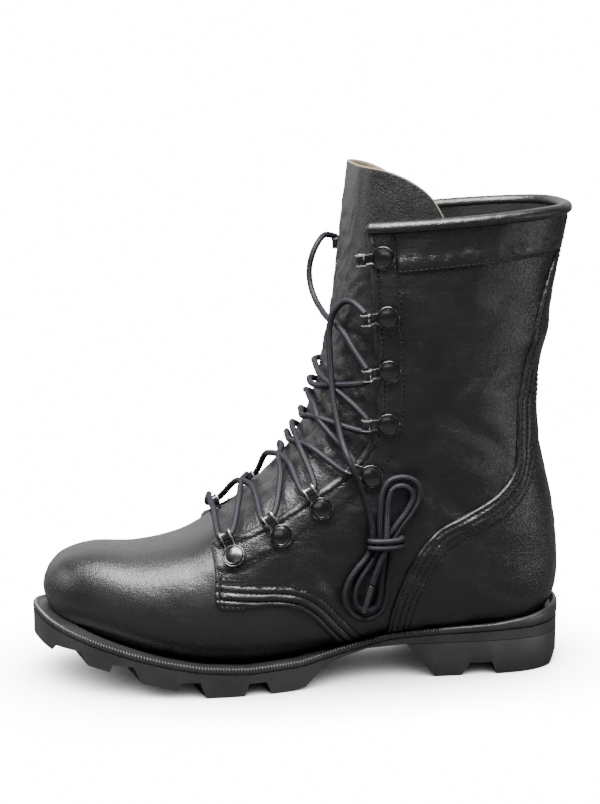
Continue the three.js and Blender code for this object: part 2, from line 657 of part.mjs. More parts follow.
// The throat edge moved back into the leather by some width.
function throatLine(width) {
  const points = THROAT_EDGE.map(sidePoint);
  return points.map((point, i) => {
    const before = points[Math.max(i - 1, 0)];
    const after = points[Math.min(i + 1, points.length - 1)];
    const along = after.clone().sub(before).normalize();
    return new THREE.Vector2(point.x - along.y * width, point.y + along.x * width);
  });
}
const eyestayRegion = (() => {
  const edge = throatLine(0);
  const rear = throatLine(EYESTAY_WIDTH).slice(1);
  return sideSlab([sidePoint(EYESTAY_TOE), ...edge, ...rear.reverse(), sidePoint(EYESTAY_HEEL)]);
})();
const cuffRegion = (() => {
  const gap = CLEARANCE * 2;
  const rear = COUNTER_FRONT.map(sidePoint).map((p) => new THREE.Vector2(p.x + gap, p.y));
  const front = throatLine(EYESTAY_WIDTH + gap).slice(1);
  const between = sideSlab([...rear, new THREE.Vector2(rear[rear.length - 1].x, HIGH),
    new THREE.Vector2(front[front.length - 1].x, HIGH), ...front.reverse()]);
  const band = (at) => new THREE.Vector2(alongSole(at), riseToHeight(at, CUFF_BAND + (0.4 - at) * CUFF_SLOPE));
  const high = sideSlab([band(-0.1), band(0.6), new THREE.Vector2(alongSole(0.6), HIGH),
    new THREE.Vector2(alongSole(-0.1), HIGH)]);
  return between.intersect(high);
})();

// Tongue: a sheet just inside the upper, cut to its side outline
const tongueLift = -(WALL + CLEARANCE);
function makeTongue() {
  const sheet = innerForm(tongueLift).subtract(innerForm(tongueLift - TONGUE));
  const rear = throatLine(TONGUE_DEPTH);
  const topLine = [
    [0.26, 0.905],
    [0.283, 0.943],
    [0.312, 0.968],
    [0.352, 0.988],
    [0.395, 0.998],
    [0.46, 1],
  ].map(([at, share]) => new THREE.Vector2(alongSole(at), share * TONGUE_HEIGHT));
  const region = sideSlab([
    new THREE.Vector2(alongSole(0.69), riseToHeight(0.69, 0.2)),
    ...rear.slice(1, -2).map((p, i) => new THREE.Vector2(p.x - i * 1.5, p.y)),
    ...topLine,
    new THREE.Vector2(alongSole(1), TONGUE_HEIGHT),
  ]);
  return sheet.intersect(region);
}

function makeInsole() {
  const under = (share) => seatAt(share) + WALL + CLEARANCE;
  return innerForm(tongueLift).intersect(belowLine((share) => under(share) + INSOLE));
}

// The welt's ribbed outline: a rib every pitch in front of the heel, smooth round the heel.
function makeWelt() {
  const ribStart = alongSole(0.244);
  const curvePoints = soleOutline(400);
  const perimeter = curvePoints.reduce((sum, p, i) => sum + p.distanceTo(curvePoints[(i + 1) % curvePoints.length]), 0);
  const count = 2 * Math.round(perimeter / RIB_PITCH);
  const edge = soleOutline(count, -RIB_DEPTH * 0.5);
  const ribbed = edge.filter((p, i) => p.x > ribStart || i % 4 === 0);
  const outline = ribbed.map((p, i) => {
    if (p.x <= ribStart) return p;
    const before = ribbed[(i + ribbed.length - 1) % ribbed.length];
    const after = ribbed[(i + 1) % ribbed.length];
    const along = after.clone().sub(before).normalize();
    const out = i % 2 ? RIB_DEPTH : 0;
    return new THREE.Vector2(p.x - along.y * out, p.y + along.x * out);
  });
  const low = (share) => deckAt(share) + CLEARANCE;
  const ring = planSlab(outline, -DEEP, DEEP).intersect(aboveLine(low, DEEP)).intersect(belowLine(rimAt));
  const quarters = upperForm(QUARTER + CLEARANCE).intersect(quarterRegion(-CLEARANCE));
  const counter = upperForm(QUARTER + OVERLAY + 2 * CLEARANCE).intersect(counterRegion(CLEARANCE));
  const opening = planSlab(soleOutline(60, SEAT_MARGIN), -DEEP, DEEP);
  return ring.subtract(opening).subtract(upperForm(CLEARANCE)).subtract(quarters).subtract(counter);
}

// A round section with a few straight sides.
function roundSection(radius, sides) {
  return new THREE.Shape(
    Array.from({ length: sides }, (_, i) => {
      const angle = (2 * Math.PI * (i + 0.5)) / sides;
      return new THREE.Vector2(radius * Math.cos(angle), radius * Math.sin(angle));
    }),
  );
}

// Collar roll: a tube along the top edge of the upper
function makeRoll() {
  const section = roundSection(ROLL_RADIUS, 8);
  const top = SECTIONS.length - 2;
  const lift = ROLL_RADIUS - WALL;
  const core = new THREE.Vector3(alongSole(SHAFT_MIDDLE), 0, 0);
  const nudge = 0.01;
  const path = [];
  const steps = 22;
  const firstTurn = 0.176;
  for (let i = 0; i <= 2 * steps; i++) {
    const side = i <= steps ? 1 : -1;
    const turn = firstTurn + (1 - firstTurn) * (1 - Math.abs(i - steps) / steps);
    const point = upperPoint(top, turn, side);
    const along = upperPoint(top, turn - nudge, side).sub(point);
    const outward = new THREE.Vector3(along.y, -along.x, 0).normalize();
    if (outward.dot(point.clone().sub(core)) < 0) outward.negate();
    point.addScaledVector(outward, lift);
    const share = (point.x - HEEL_BACK) / SOLE_LENGTH;
    const rise = (COLLAR_RISE * (COLLAR_FRONT - share)) / (COLLAR_FRONT - COLLAR_REAR);
    point.z = COLLAR_HEIGHT + rise + ROLL_RADIUS + CLEARANCE;
    path.push(point);
  }
  const tube = new THREE.ExtrudeGeometry(section, {
    steps: 28,
    bevelEnabled: false,
    extrudePath: new THREE.CatmullRomCurve3(path, false, "centripetal"),
  });
  return solidOf(tube);
}

// Lace loops: a riveted strap with a domed cap and a flat tube that the lace runs through.
const loopSeat = QUARTER + CLEARANCE + OVERLAY + CLEARANCE;
const seatMesh = new THREE.Mesh(geometryOf(upperForm(loopSeat)));
const FAR_SIDE = 4 * SOLE_WIDTH;

// The frame of a lace loop: its origin on the leather, x along the strap and z out of the leather.
function loopFrame(side, { at, rise, lean }) {
  const start = new THREE.Vector3(alongSole(at), side * FAR_SIDE, riseToHeight(at, rise));
  const [hit] = new THREE.Raycaster(start, new THREE.Vector3(0, -side, 0)).intersectObject(seatMesh);
  const out = hit.face.normal.clone();
  const angle = THREE.MathUtils.degToRad(lean);
  const strap = new THREE.Vector3(Math.cos(angle), 0, Math.sin(angle));
  strap.addScaledVector(out, -strap.dot(out)).normalize();
  const across = new THREE.Vector3().crossVectors(out, strap);
  return new THREE.Matrix4().makeBasis(strap, across, out).setPosition(hit.point);
}

function makeLaceLoop() {
  const neck = NECK_WIDTH / 2;
  const shoulder = Math.asin(neck / RING_RADIUS);
  const plate = new THREE.Shape();
  const ringSides = 8;
  for (let i = 0; i <= ringSides; i++) {
    const angle = shoulder + ((2 * Math.PI - 2 * shoulder) * i) / ringSides;
    const point = [RING_RADIUS * Math.cos(angle), RING_RADIUS * Math.sin(angle)];
    if (i) plate.lineTo(...point);
    else plate.moveTo(...point);
  }
  const strapEnd = REACH - BRACKET_DEPTH / 2 + BRACKET_WALL / 2;
  plate.lineTo(strapEnd, -neck);
  plate.lineTo(strapEnd, neck);
  const flat = new THREE.ExtrudeGeometry(plate, { depth: PLATE, bevelEnabled: false });
  flat.translate(0, 0, CLEARANCE);
  const dome = new THREE.LatheGeometry(
    [[0, 0], [CAP_RADIUS, 0], [CAP_RADIUS * 0.82, CAP_HEIGHT * 0.7], [0, CAP_HEIGHT]].map(([x, y]) => new THREE.Vector2(x, y)),
    8,
  );
  dome.rotateX(Math.PI / 2);
  dome.translate(0, 0, CLEARANCE + PLATE * 0.9);
  return solidOf(flat).add(solidOf(dome)).add(makeBracket());
}
function makeBracket() {
  const halfDepth = BRACKET_DEPTH / 2;
  const low = CLEARANCE;
  const rounding = 0.3;
  const box = (inset) => {
    const corner = BRACKET_HEIGHT * rounding;
    const a = -halfDepth + inset;
    const b = halfDepth - inset;
    const c = low + inset;
    const d = low + BRACKET_HEIGHT - inset;
    return [[a, c], [b - corner, c], [b, c + corner], [b, d - corner], [b - corner, d], [a, d]].map(
      ([x, y]) => new THREE.Vector2(x, y),
    );
  };
  const ring = new THREE.Shape(box(0));
  ring.holes.push(new THREE.Path(box(BRACKET_WALL)));
  const tube = new THREE.ExtrudeGeometry(ring, { depth: BRACKET_LENGTH, bevelEnabled: false });
  tube.rotateX(Math.PI / 2);
  tube.translate(REACH, BRACKET_LENGTH / 2, 0);
  return solidOf(tube);
}

const laceLoop = geometryOf(makeLaceLoop());
const loopFrames = {};
for (const [sideName, side] of [["lateral", 1], ["medial", -1]])
  LACE_LOOPS.forEach((row, i) => {
    const frame = loopFrame(side, row);
    const piece = new THREE.Mesh(laceLoop, enamel);
    piece.name = `speed_loop_${sideName}_${i + 1}`;
    piece.applyMatrix4(frame);
    boot.add(piece);
    loopFrames[`${side > 0 ? "outer" : "inner"} ${i + 1}`] = { frame, side };
  });

// Where a lace enters a loop: just outside the tube's mouth at its toe or collar end.
function loopMouth([sideName, number, end], beyond) {
  const { frame, side } = loopFrames[`${sideName} ${number}`];
  const toCollar = (end === "collar" ? -1 : 1) * side;
  const place = toCollar * (BRACKET_LENGTH / 2 + beyond);
  return new THREE.Vector3(REACH, place, CLEARANCE + BRACKET_HEIGHT / 2).applyMatrix4(frame);
}

function laceTube(points, steps, sides = 8) {
  const tube = new THREE.ExtrudeGeometry(roundSection(LACE / 2, sides), {
    steps,
    bevelEnabled: false,
    extrudePath: new THREE.CatmullRomCurve3(points, false, "centripetal"),
  });
  return solidOf(tube);
}
const MOUTH_GAP = 0.9;
function strandPoints({ from, to, over }) {
  const straight = LACE;
  return [
    loopMouth(from, MOUTH_GAP),
    loopMouth(from, MOUTH_GAP + straight),
    ...over.map(([x, y, z]) =>
      new THREE.Vector3(
        HEEL_BACK + ((x - HEEL_BACK) * SOLE_LENGTH) / DRAWN.length,
        (y * UPPER_WIDTH) / DRAWN.width,
        (z * COLLAR_HEIGHT) / DRAWN.height,
      ),
    ),
    loopMouth(to, MOUTH_GAP + straight),
    loopMouth(to, MOUTH_GAP),
  ];
}

addPiece("outsole", makeOutsole(), rubber);
addPiece("heel", makeHeel(), rubber);
addPiece("welt", makeWelt(), rubber);
addPiece("insole", makeInsole(), board);
addPiece("upper", makeUpper(), leather);
addPiece("tongue", makeTongue(), tongueLeather);
addPiece("collar_roll", makeRoll(), leather);
addPiece("heel_counter", overlay(counterRegion(0)), leather);
addPiece("eyestay_lateral", overlay(eyestayRegion).intersect(outside), leather);
addPiece("eyestay_medial", overlay(eyestayRegion).intersect(inside), leather);
addPiece("cuff_lateral", overlay(cuffRegion).intersect(outside), leather);
addPiece("cuff_medial", overlay(cuffRegion).intersect(inside), leather);

for (const [name, strands] of Object.entries(CROSSINGS)) {
  const tubes = strands.map((strand) => laceTube(strandPoints(strand), 10, 6));
  addPiece(name, tubes.reduce((joined, tube) => joined.add(tube)), cord);
}

addPiece("lace_slack", laceTube(strandPoints({ ...SLACK_STRAND, over: SLACK_ROUTE }), 18), cord);

const points3 = (route) => route.map((point) => new THREE.Vector3(...point));
const endMouth = loopMouth(["outer", 7, "collar"], MOUTH_GAP);
addPiece("lace_end", laceTube([endMouth, ...points3(END_ROUTE)], 28), cord);
const outlinePoints = (outline) => outline.map(([x, z]) => new THREE.Vector2(x, z));
const hankPiece = (outline, thickness) => overlay(sideSlab(outlinePoints(outline)), thickness).intersect(outside);
addPiece("lace_loops_above", hankPiece(HANK_LOOPS_ABOVE, LACE), cord);
addPiece("lace_wraps", hankPiece(HANK_WRAPS, WRAP_THICKNESS), cord);
addPiece("lace_loops_below", hankPiece(HANK_LOOPS_BELOW, LACE), cord);
const tip = new THREE.ExtrudeGeometry(roundSection(TIP_RADIUS, 8), {
  steps: 1,
  bevelEnabled: false,
  extrudePath: new THREE.LineCurve3(...points3(TIP_ROUTE)),
});
addPiece("lace_tip", solidOf(tip), enamel);

export default boot;
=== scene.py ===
# %% [markdown]
# # A black leather combat boot
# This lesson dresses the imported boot: braided lace, speed loops, stitched leather panels, a
# padded collar, a wrinkled tongue and a lugged rubber sole. Lengths in the tables are in
# millimetres, because a shoemaker works in them, and MM turns them into Blender's metres.

# %% Load the frame
import bpy
import math
import numpy as np
from mathutils import Matrix, Vector
from mathutils.bvhtree import BVHTree


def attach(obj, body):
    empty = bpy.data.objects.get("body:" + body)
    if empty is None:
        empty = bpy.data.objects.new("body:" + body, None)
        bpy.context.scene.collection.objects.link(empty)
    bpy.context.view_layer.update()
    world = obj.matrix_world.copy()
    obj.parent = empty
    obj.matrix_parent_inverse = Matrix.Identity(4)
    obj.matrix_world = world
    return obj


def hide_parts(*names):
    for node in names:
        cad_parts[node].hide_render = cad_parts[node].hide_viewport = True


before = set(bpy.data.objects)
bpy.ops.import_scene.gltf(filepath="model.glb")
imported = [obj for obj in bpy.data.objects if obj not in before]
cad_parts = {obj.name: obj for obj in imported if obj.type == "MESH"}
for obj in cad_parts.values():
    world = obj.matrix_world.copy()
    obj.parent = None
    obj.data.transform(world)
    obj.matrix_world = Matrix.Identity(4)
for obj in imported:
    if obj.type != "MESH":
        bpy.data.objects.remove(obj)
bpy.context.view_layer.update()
MM = 0.001
bpy.ops.object.select_all(action="DESELECT")

# %% [markdown]
# ## The camera
# The photograph looks at the outer side of the boot from about a metre, a little from above
# and a little from the toe. The long lens keeps the shaft's sides parallel.

# %% Camera
TARGET = Vector((0.125, 0, 0.140))
CAMERA_DISTANCE = 1.05
CAMERA_TURN = math.radians(8)
CAMERA_RISE = math.radians(12.64)
LENS = 81.9
# The picture's height and the shift of its middle, in pixels.
PICTURE_HEIGHT = 804
SHIFT_RIGHT = -5.54
SHIFT_UP = 26.54
back = Vector((
    math.sin(CAMERA_TURN) * math.cos(CAMERA_RISE),
    math.cos(CAMERA_TURN) * math.cos(CAMERA_RISE),
    math.sin(CAMERA_RISE),
))
camera_data = bpy.data.cameras.new("camera")
camera_data.lens = LENS
camera_data.shift_x = SHIFT_RIGHT / PICTURE_HEIGHT
camera_data.shift_y = SHIFT_UP / PICTURE_HEIGHT
camera = bpy.data.objects.new("camera", camera_data)
camera.location = TARGET + back * CAMERA_DISTANCE
camera.rotation_euler = (-back).to_track_quat("-Z", "Y").to_euler()
bpy.context.scene.collection.objects.link(camera)
bpy.context.scene.camera = camera

# %% [markdown]
# ## Smooth lines
# Every cord, seam and outline starts as a few points. A centripetal spline runs through them
# without overshooting, and it is then cut into even steps.

# %% Line helpers
def spline(points, closed=False, per_span=12):
    points = np.asarray(points, float)
    count = len(points)
    if closed:
        before, after = points[-1:], points[:2]
    else:
        before, after = 2 * points[:1] - points[1:2], 2 * points[-1:] - points[-2:-1]
    knots = np.vstack([before, points, after])
    spans = count if closed else count - 1
    out = []
    for i in range(spans):
        p0, p1, p2, p3 = knots[i : i + 4]
        steps = [max(np.linalg.norm(b - a), 1e-6) ** 0.5 for a, b in ((p0, p1), (p1, p2), (p2, p3))]
        t1, t2 = steps[0], steps[0] + steps[1]
        t3 = t2 + steps[2]
        for t in np.linspace(t1, t2, per_span, endpoint=False):
            a1 = (t1 - t) / t1 * p0 + t / t1 * p1
            a2 = (t2 - t) / (t2 - t1) * p1 + (t - t1) / (t2 - t1) * p2
            a3 = (t3 - t) / (t3 - t2) * p2 + (t - t2) / (t3 - t2) * p3
            b1 = (t2 - t) / t2 * a1 + t / t2 * a2
            b2 = (t3 - t) / (t3 - t1) * a2 + (t - t1) / (t3 - t1) * a3
            out.append((t2 - t) / (t2 - t1) * b1 + (t - t1) / (t2 - t1) * b2)
    if not closed:
        out.append(points[-1])
    return np.array(out)


def even_steps(points, step):
    lengths = np.linalg.norm(np.diff(points, axis=0), axis=1)
    total = np.concatenate([[0], np.cumsum(lengths)])
    count = max(int(round(total[-1] / step)), 2)
    places = np.linspace(0, total[-1], count + 1)
    return np.column_stack([np.interp(places, total, points[:, k]) for k in range(points.shape[1])])


def unit_tangents(path):
    tangents = np.gradient(path, axis=0)
    return tangents / np.linalg.norm(tangents, axis=1)[:, None]


def ring_at(point, radii, angles, first, second):
    return point + radii[:, None] * (np.cos(angles)[:, None] * first + np.sin(angles)[:, None] * second)


def ring_faces(rings, sides):
    """The quads between rings of points that follow each other."""
    faces = []
    for i in range(rings - 1):
        for j in range(sides):
            k = (j + 1) % sides
            faces.append((i * sides + j, i * sides + k, (i + 1) * sides + k, (i + 1) * sides + j))
    return faces


def tube_faces(rings, sides):
    """The quads of a tube, and a fan at each end to a point that comes after all the rings."""
    faces = ring_faces(rings, sides)
    end = (rings - 1) * sides
    for j in range(sides):
        k = (j + 1) % sides
        faces += [(rings * sides, k, j), (rings * sides + 1, end + j, end + k)]
    return faces


def select_only(piece):
    bpy.ops.object.select_all(action="DESELECT")
    piece.select_set(True)
    bpy.context.view_layer.objects.active = piece


def face_outwards(piece, merge=0):
    """Merge points that are closer than merge, in metres, and turn all faces outwards."""
    select_only(piece)
    bpy.ops.object.mode_set(mode="EDIT")
    bpy.ops.mesh.select_all(action="SELECT")
    if merge:
        bpy.ops.mesh.remove_doubles(threshold=merge)
    bpy.ops.mesh.normals_make_consistent(inside=False)
    bpy.ops.object.mode_set(mode="OBJECT")


def new_mesh(name, vertices, faces, uv=None, smooth=True):
    mesh = bpy.data.meshes.new(name)
    mesh.from_pydata(np.asarray(vertices, float).tolist(), [], [list(map(int, f)) for f in faces])
    mesh.update()
    if uv is not None:
        layer = mesh.uv_layers.new(name="along")
        corners = np.empty(len(mesh.loops), int)
        mesh.loops.foreach_get("vertex_index", corners)
        layer.data.foreach_set("uv", np.asarray(uv, float)[corners].ravel())
    if smooth:
        mesh.polygons.foreach_set("use_smooth", [True] * len(mesh.polygons))
    piece = bpy.data.objects.new(name, mesh)
    bpy.context.scene.collection.objects.link(piece)
    return piece


def finish_piece(piece, slot, *nodes):
    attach(piece, "root")
    if nodes:
        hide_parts(*nodes)
    print(piece.name, len(piece.data.polygons), "faces")


# %% [markdown]
# ## The lace loops' places
# Eight riveted loops hold the lace on each side. Each row gives where a rivet sits, which way
# its strap points and which way is out of the leather.

# %% Loop frames
LOOP_ROWS = {
    "lateral": [
        ((171.2, 45.5, 78.9), (0.251, -0.623, 0.741), (0.337, 0.774, 0.536)),
        ((145.3, 47.5, 90.3), (0.554, -0.231, 0.8), (0.087, 0.972, 0.22)),
        ((122.8, 46.2, 104.6), (0.527, -0.187, 0.829), (0.066, 0.981, 0.18)),
        ((94.8, 45.2, 121.9), (0.897, -0.112, 0.428), (0.068, 0.991, 0.116)),
        ((85, 43.8, 150.5), (0.99, -0.134, 0.035), (0.134, 0.991, 0.005)),
        ((84.8, 44.1, 180.4), (0.98, -0.161, -0.119), (0.159, 0.987, -0.029)),
        ((85.9, 44.6, 210.5), (0.985, -0.16, -0.069), (0.159, 0.987, -0.01)),
        ((88.3, 43.2, 243.1), (0.931, -0.346, -0.118), (0.35, 0.937, 0.019)),
    ],
    "medial": [
        ((171.2, -43.3, 78.9), (0.248, 0.655, 0.714), (0.334, -0.749, 0.572)),
        ((145.3, -45.1, 90.3), (0.556, 0.196, 0.808), (0.071, -0.979, 0.189)),
        ((122.8, -44.2, 104.6), (0.526, 0.164, 0.835), (0.07, -0.986, 0.15)),
        ((94.8, -43.8, 121.9), (0.896, 0.098, 0.433), (0.071, -0.994, 0.079)),
        ((85, -43.3, 150.5), (0.99, 0.133, 0.035), (0.133, -0.991, 0.005)),
        ((84.8, -43.7, 180.4), (0.979, 0.165, -0.119), (0.162, -0.986, -0.029)),
        ((85.9, -44.2, 210.5), (0.986, 0.15, -0.069), (0.15, -0.989, -0.012)),
        ((88.3, -42.7, 243.1), (0.933, 0.341, -0.119), (0.346, -0.938, 0.021)),
    ],
}
CLEARANCE = 0.35
REACH = 12.1
BRACKET_DEPTH = 6
BRACKET_HEIGHT = 5.8
BRACKET_LENGTH = 6.2
LACE = 3.4
SIDES = {"lateral": 1, "medial": -1}


def loop_matrix(side, number):
    place, strap, out = (np.array(v, float) for v in LOOP_ROWS[side][number - 1])
    out /= np.linalg.norm(out)
    strap -= out * strap.dot(out)
    strap /= np.linalg.norm(strap)
    across = np.cross(out, strap)
    matrix = Matrix.Identity(4)
    for column, vector in enumerate((strap, across, out, place)):
        for row in range(3):
            matrix[row][column] = vector[row]
    return matrix


def loop_mouth(side, number, end, beyond):
    towards = (-1 if end == "collar" else 1) * SIDES[side]
    local = Vector((REACH, towards * (BRACKET_LENGTH / 2 + beyond), CLEARANCE + BRACKET_HEIGHT / 2))
    return np.array(loop_matrix(side, number) @ local)


# %% [markdown]
# ## Braided cord
# A boot lace is a round braid of eight yarn bundles that pass over and under each other. The
# tube's wall is modelled with that relief, so it also holds up close to the camera.

# %% Cord maker
BRAID_RELIEF = 0.14
BRAID_PITCH = 4.4
BRAID_STEP = 0.42
TUBE_SIDES = 24
END_BULGE = 0.3
UV_LENGTH = 10


def braid_height(angle, along):
    climb = 2 * math.pi * along / BRAID_PITCH
    left = np.cos(4 * angle + 4 * climb / 2)
    right = np.cos(4 * angle - 4 * climb / 2)
    over = np.where(np.cos(4 * angle) * np.cos(2 * climb) > 0, left, right)
    return np.abs(over) ** 0.7 - 0.6


def braided_tube(name, points, radius=LACE / 2):
    """A braided cord through the points, and its middle line in metres."""
    path = even_steps(spline(points), BRAID_STEP)
    tangents = unit_tangents(path)
    normal = np.cross(tangents[0], (0.3, 1, 0.2))
    normal /= np.linalg.norm(normal)
    angles = np.linspace(0, 2 * math.pi, TUBE_SIDES, endpoint=False)
    rings = []
    for i, (point, tangent) in enumerate(zip(path, tangents)):
        normal = normal - tangent * normal.dot(tangent)
        normal /= np.linalg.norm(normal)
        radii = radius * (1 + BRAID_RELIEF * braid_height(angles, i * BRAID_STEP))
        rings.append(ring_at(point, radii, angles, normal, np.cross(tangent, normal)))
    ends = [path[:1] - tangents[:1] * END_BULGE, path[-1:] + tangents[-1:] * END_BULGE]
    around = np.tile(angles / (2 * math.pi), len(path))
    down = np.repeat(np.arange(len(path)) * BRAID_STEP / UV_LENGTH, TUBE_SIDES)
    uv = np.vstack([np.column_stack([around, down]), [[0.5, 0], [0.5, down[-1]]]])
    piece = new_mesh(name, np.vstack(rings + ends) * MM, tube_faces(len(path), TUBE_SIDES), uv)
    return piece, path * MM


# %% [markdown]
# ## Where the lace runs
# The lace starts as a bar between the two lowest loops, crosses five times over the tongue and
# stays slack above. Its free end hangs from the seventh loop down to a small tied hank.

# %% Lace routes
BAR_ROUTE = [(180, 14.5, 99), (181, 1, 101), (180, -12.5, 100)]
# Each crossing's strand from the outer loop, then the one from the inner loop, without its ends.
CROSSING_ROUTES = [
    (
        [
            (166, 20, 104), (164, 10, 108.5), (161.5, -0.5, 111.5), (158, -11.5, 111), (157, -22, 108.5),
        ],
        [
            (165.5, -18.5, 104.5), (164, -8.5, 108.5), (162, 2.5, 111), (158.5, 13, 111.5),
            (157, 23.5, 109),
        ],
    ),
    (
        [
            (142.5, 24, 120), (142, 13, 124), (140.5, 1.5, 126.5), (137.5, -9.5, 128),
            (137.3, -22.3, 127),
        ],
        [
            (146, -21.5, 120.5), (144.5, -10.5, 124), (142, 0.5, 126), (139, 12, 126), (137.5, 24, 125.5),
        ],
    ),
    (
        [
            (131.8, 22.3, 135.7), (131.5, 9.5, 137.5), (132, -2.5, 139.5), (130.7, -16.5, 140.5),
            (126.7, -28.7, 137),
        ],
        [
            (133.3, -20.5, 134.3), (134, -7, 133), (133.5, 5, 134.5), (131, 17.5, 136), (127, 30, 136.5),
        ],
    ),
    (
        [
            (121, 28.5, 150.5), (122.5, 16, 157.5), (122.5, 2.5, 158), (122.5, -11, 160),
            (120.5, -25, 157.5),
        ],
        [
            (123.5, -26.5, 146.5), (126, -12, 148.5), (127, 1, 148), (125, 13.5, 150.5), (121.5, 27, 152),
        ],
    ),
    (
        [
            (115.5, 26.8, 171.5), (118.5, 14, 174), (118.5, 1.5, 175), (118, -10.5, 176.5),
            (116, -23.8, 176.5),
        ],
        [
            (118, -25, 165), (121, -12, 166), (121.5, 0, 166.5), (120, 12, 167.5), (117, 24.8, 170),
        ],
    ),
]
SLACK_ROUTE = [
    (108.5, -36, 247), (113, -30.5, 244), (117, -28, 237), (119, -27.5, 228), (118.5, -25, 219),
    (116.5, -18, 211.5), (115, -8, 208), (114.5, 3, 206.5), (113.5, 13, 205.5), (111, 24, 204),
    (107.5, 32, 199.5), (103.5, 38.5, 192),
]
END_ROUTE = [
    (104.5, 38, 218.5), (108.5, 31, 217.5), (113.5, 27.5, 211), (115.5, 26.5, 202), (115.5, 28, 190),
    (115, 30.5, 178), (114.5, 34.5, 165), (112.7, 40, 152), (111, 46, 142), (108.5, 52.5, 134),
    (105.8, 54, 127.5), (102.5, 52.5, 119), (99.5, 50.8, 110.5), (96.5, 49.8, 101), (94.6, 49.7, 94),
    (94.3, 49.7, 90),
]
HANK_ROUTE = [
    (94, 49.4, 84), (97, 49.4, 77), (103, 50, 70), (107.5, 50, 63), (109.7, 50, 55), (108.3, 49.4, 47),
    (103, 48, 41.2), (95.5, 47.2, 39.6), (89, 47.6, 43.5), (86, 48.5, 51), (85, 49.2, 61), (84, 49.6, 73),
    (83, 49.4, 84), (78, 49, 93), (71.5, 48.2, 101.5), (67.3, 47.6, 110), (69, 47.2, 117.5),
    (76, 47, 121), (84.6, 47.3, 119.2), (88.8, 47.8, 111.5), (89.9, 48.8, 100), (90, 49.5, 90),
    (90, 49.5, 82), (95.5, 49.6, 72), (101.8, 49.8, 62), (103.8, 49.5, 53), (101.8, 49.1, 46.9),
    (96.8, 48.5, 44.8), (91.8, 48.7, 46.9), (89.8, 49.2, 53), (89, 49.8, 66), (87.5, 49.8, 77),
    (86.5, 49.6, 86), (81, 49.3, 94), (74.6, 48.6, 102.3), (71.4, 48.1, 109.5), (73.3, 47.8, 114.5),
    (78.2, 47.7, 116.5), (83, 47.8, 114.5), (85.2, 48.4, 108.5), (86, 49.6, 100), (86.6, 51.8, 92.5),
    (87.2, 53.3, 86), (88.2, 53.7, 80), (90.5, 53.6, 74), (93, 53.3, 67), (94.6, 53, 61.5),
]


LACE_INSIDE_LOOP = 2.9


def strand_points(start, finish, over):
    ends = [[loop_mouth(*end, -LACE_INSIDE_LOOP), loop_mouth(*end, 0)] for end in (start, finish)]
    return np.array([*ends[0], *over, *ends[1][::-1]])


def path_length(path):
    return float(np.linalg.norm(np.diff(path, axis=0), axis=1).sum())


def lay_strand(name, letter, start, finish, over):
    piece, _ = braided_tube(f"{name}_{letter}", strand_points(start, finish, over))
    finish_piece(piece, "lace_cord", name)
    return piece


lace_pieces = [lay_strand("lace_bar", "a", ("lateral", 1, "toe"), ("medial", 1, "toe"), BAR_ROUTE)]
for number, routes in enumerate(CROSSING_ROUTES, start=1):
    for letter, side, other, route in zip("ab", SIDES, reversed(SIDES), routes):
        start, finish = (side, number, "collar"), (other, number + 1, "toe")
        lace_pieces.append(lay_strand(f"lace_crossing_{number}", letter, start, finish, route))

slack_route = [loop_mouth("medial", 8, "collar", 0.5), *SLACK_ROUTE, loop_mouth("lateral", 6, "collar", 0.5)]
slack, slack_path = braided_tube("slack_strand", np.array(slack_route))
finish_piece(slack, "lace_cord", "lace_slack")
end_route = [loop_mouth("lateral", 7, "collar", 0.5), *END_ROUTE, *HANK_ROUTE]
free_end, free_path = braided_tube("free_end", np.array(end_route))
finish_piece(free_end, "lace_cord", "lace_end", "lace_loops_above", "lace_loops_below")
lace_pieces += [slack, free_end]
print("slack strand", path_length(slack_path), "free end", path_length(free_path))

# %% [markdown]
# ## The last
# A boot is pulled over a last, a wooden foot shape. Its sections are given here from the toe to
# above the collar: where each starts and ends in the side view, how wide it is and how round.
# Every leather panel lies on this one surface, so that the panels fit each other.

# %% The boot's form
SOLE_LENGTH = 308
SOLE_WIDTH = 108
UPPER_WIDTH = 100
COLLAR_HEIGHT = 256
COLLAR_RISE = 8
HEEL_BACK = -25
HEEL_SEAT = 24.6
HEEL_BLOCK = 20
WELT_THICKNESS = 4
# Place along the sole, outer and inner half width, deck and rim height.
SOLE_STATIONS = np.array([
    (0, 0, 0, 1.08, 1.46), (0.008, 0.26, 0.26, 1.08, 1.46), (0.033, 0.5, 0.5, 1.07, 1.42),
    (0.075, 0.64, 0.63, 1.05, 1.32), (0.146, 0.695, 0.685, 1.03, 1.22), (0.244, 0.69, 0.66, 1, 1.163),
    (0.341, 0.695, 0.6, 0.943, 1.106), (0.422, 0.76, 0.585, 0.756, 0.919),
    (0.519, 0.905, 0.67, 0.535, 0.698), (0.617, 0.995, 0.84, 0.484, 0.647),
    (0.698, 1, 0.94, 0.557, 0.72), (0.763, 0.955, 0.96, 0.695, 0.858),
    (0.828, 0.865, 0.925, 0.878, 1.041), (0.893, 0.69, 0.845, 1.077, 1.24),
    (0.942, 0.485, 0.725, 1.248, 1.411), (0.974, 0.25, 0.58, 1.37, 1.533),
    (0.993, -0.02, 0.41, 1.446, 1.609), (1, -0.22, 0.22, 1.47, 1.633),
])
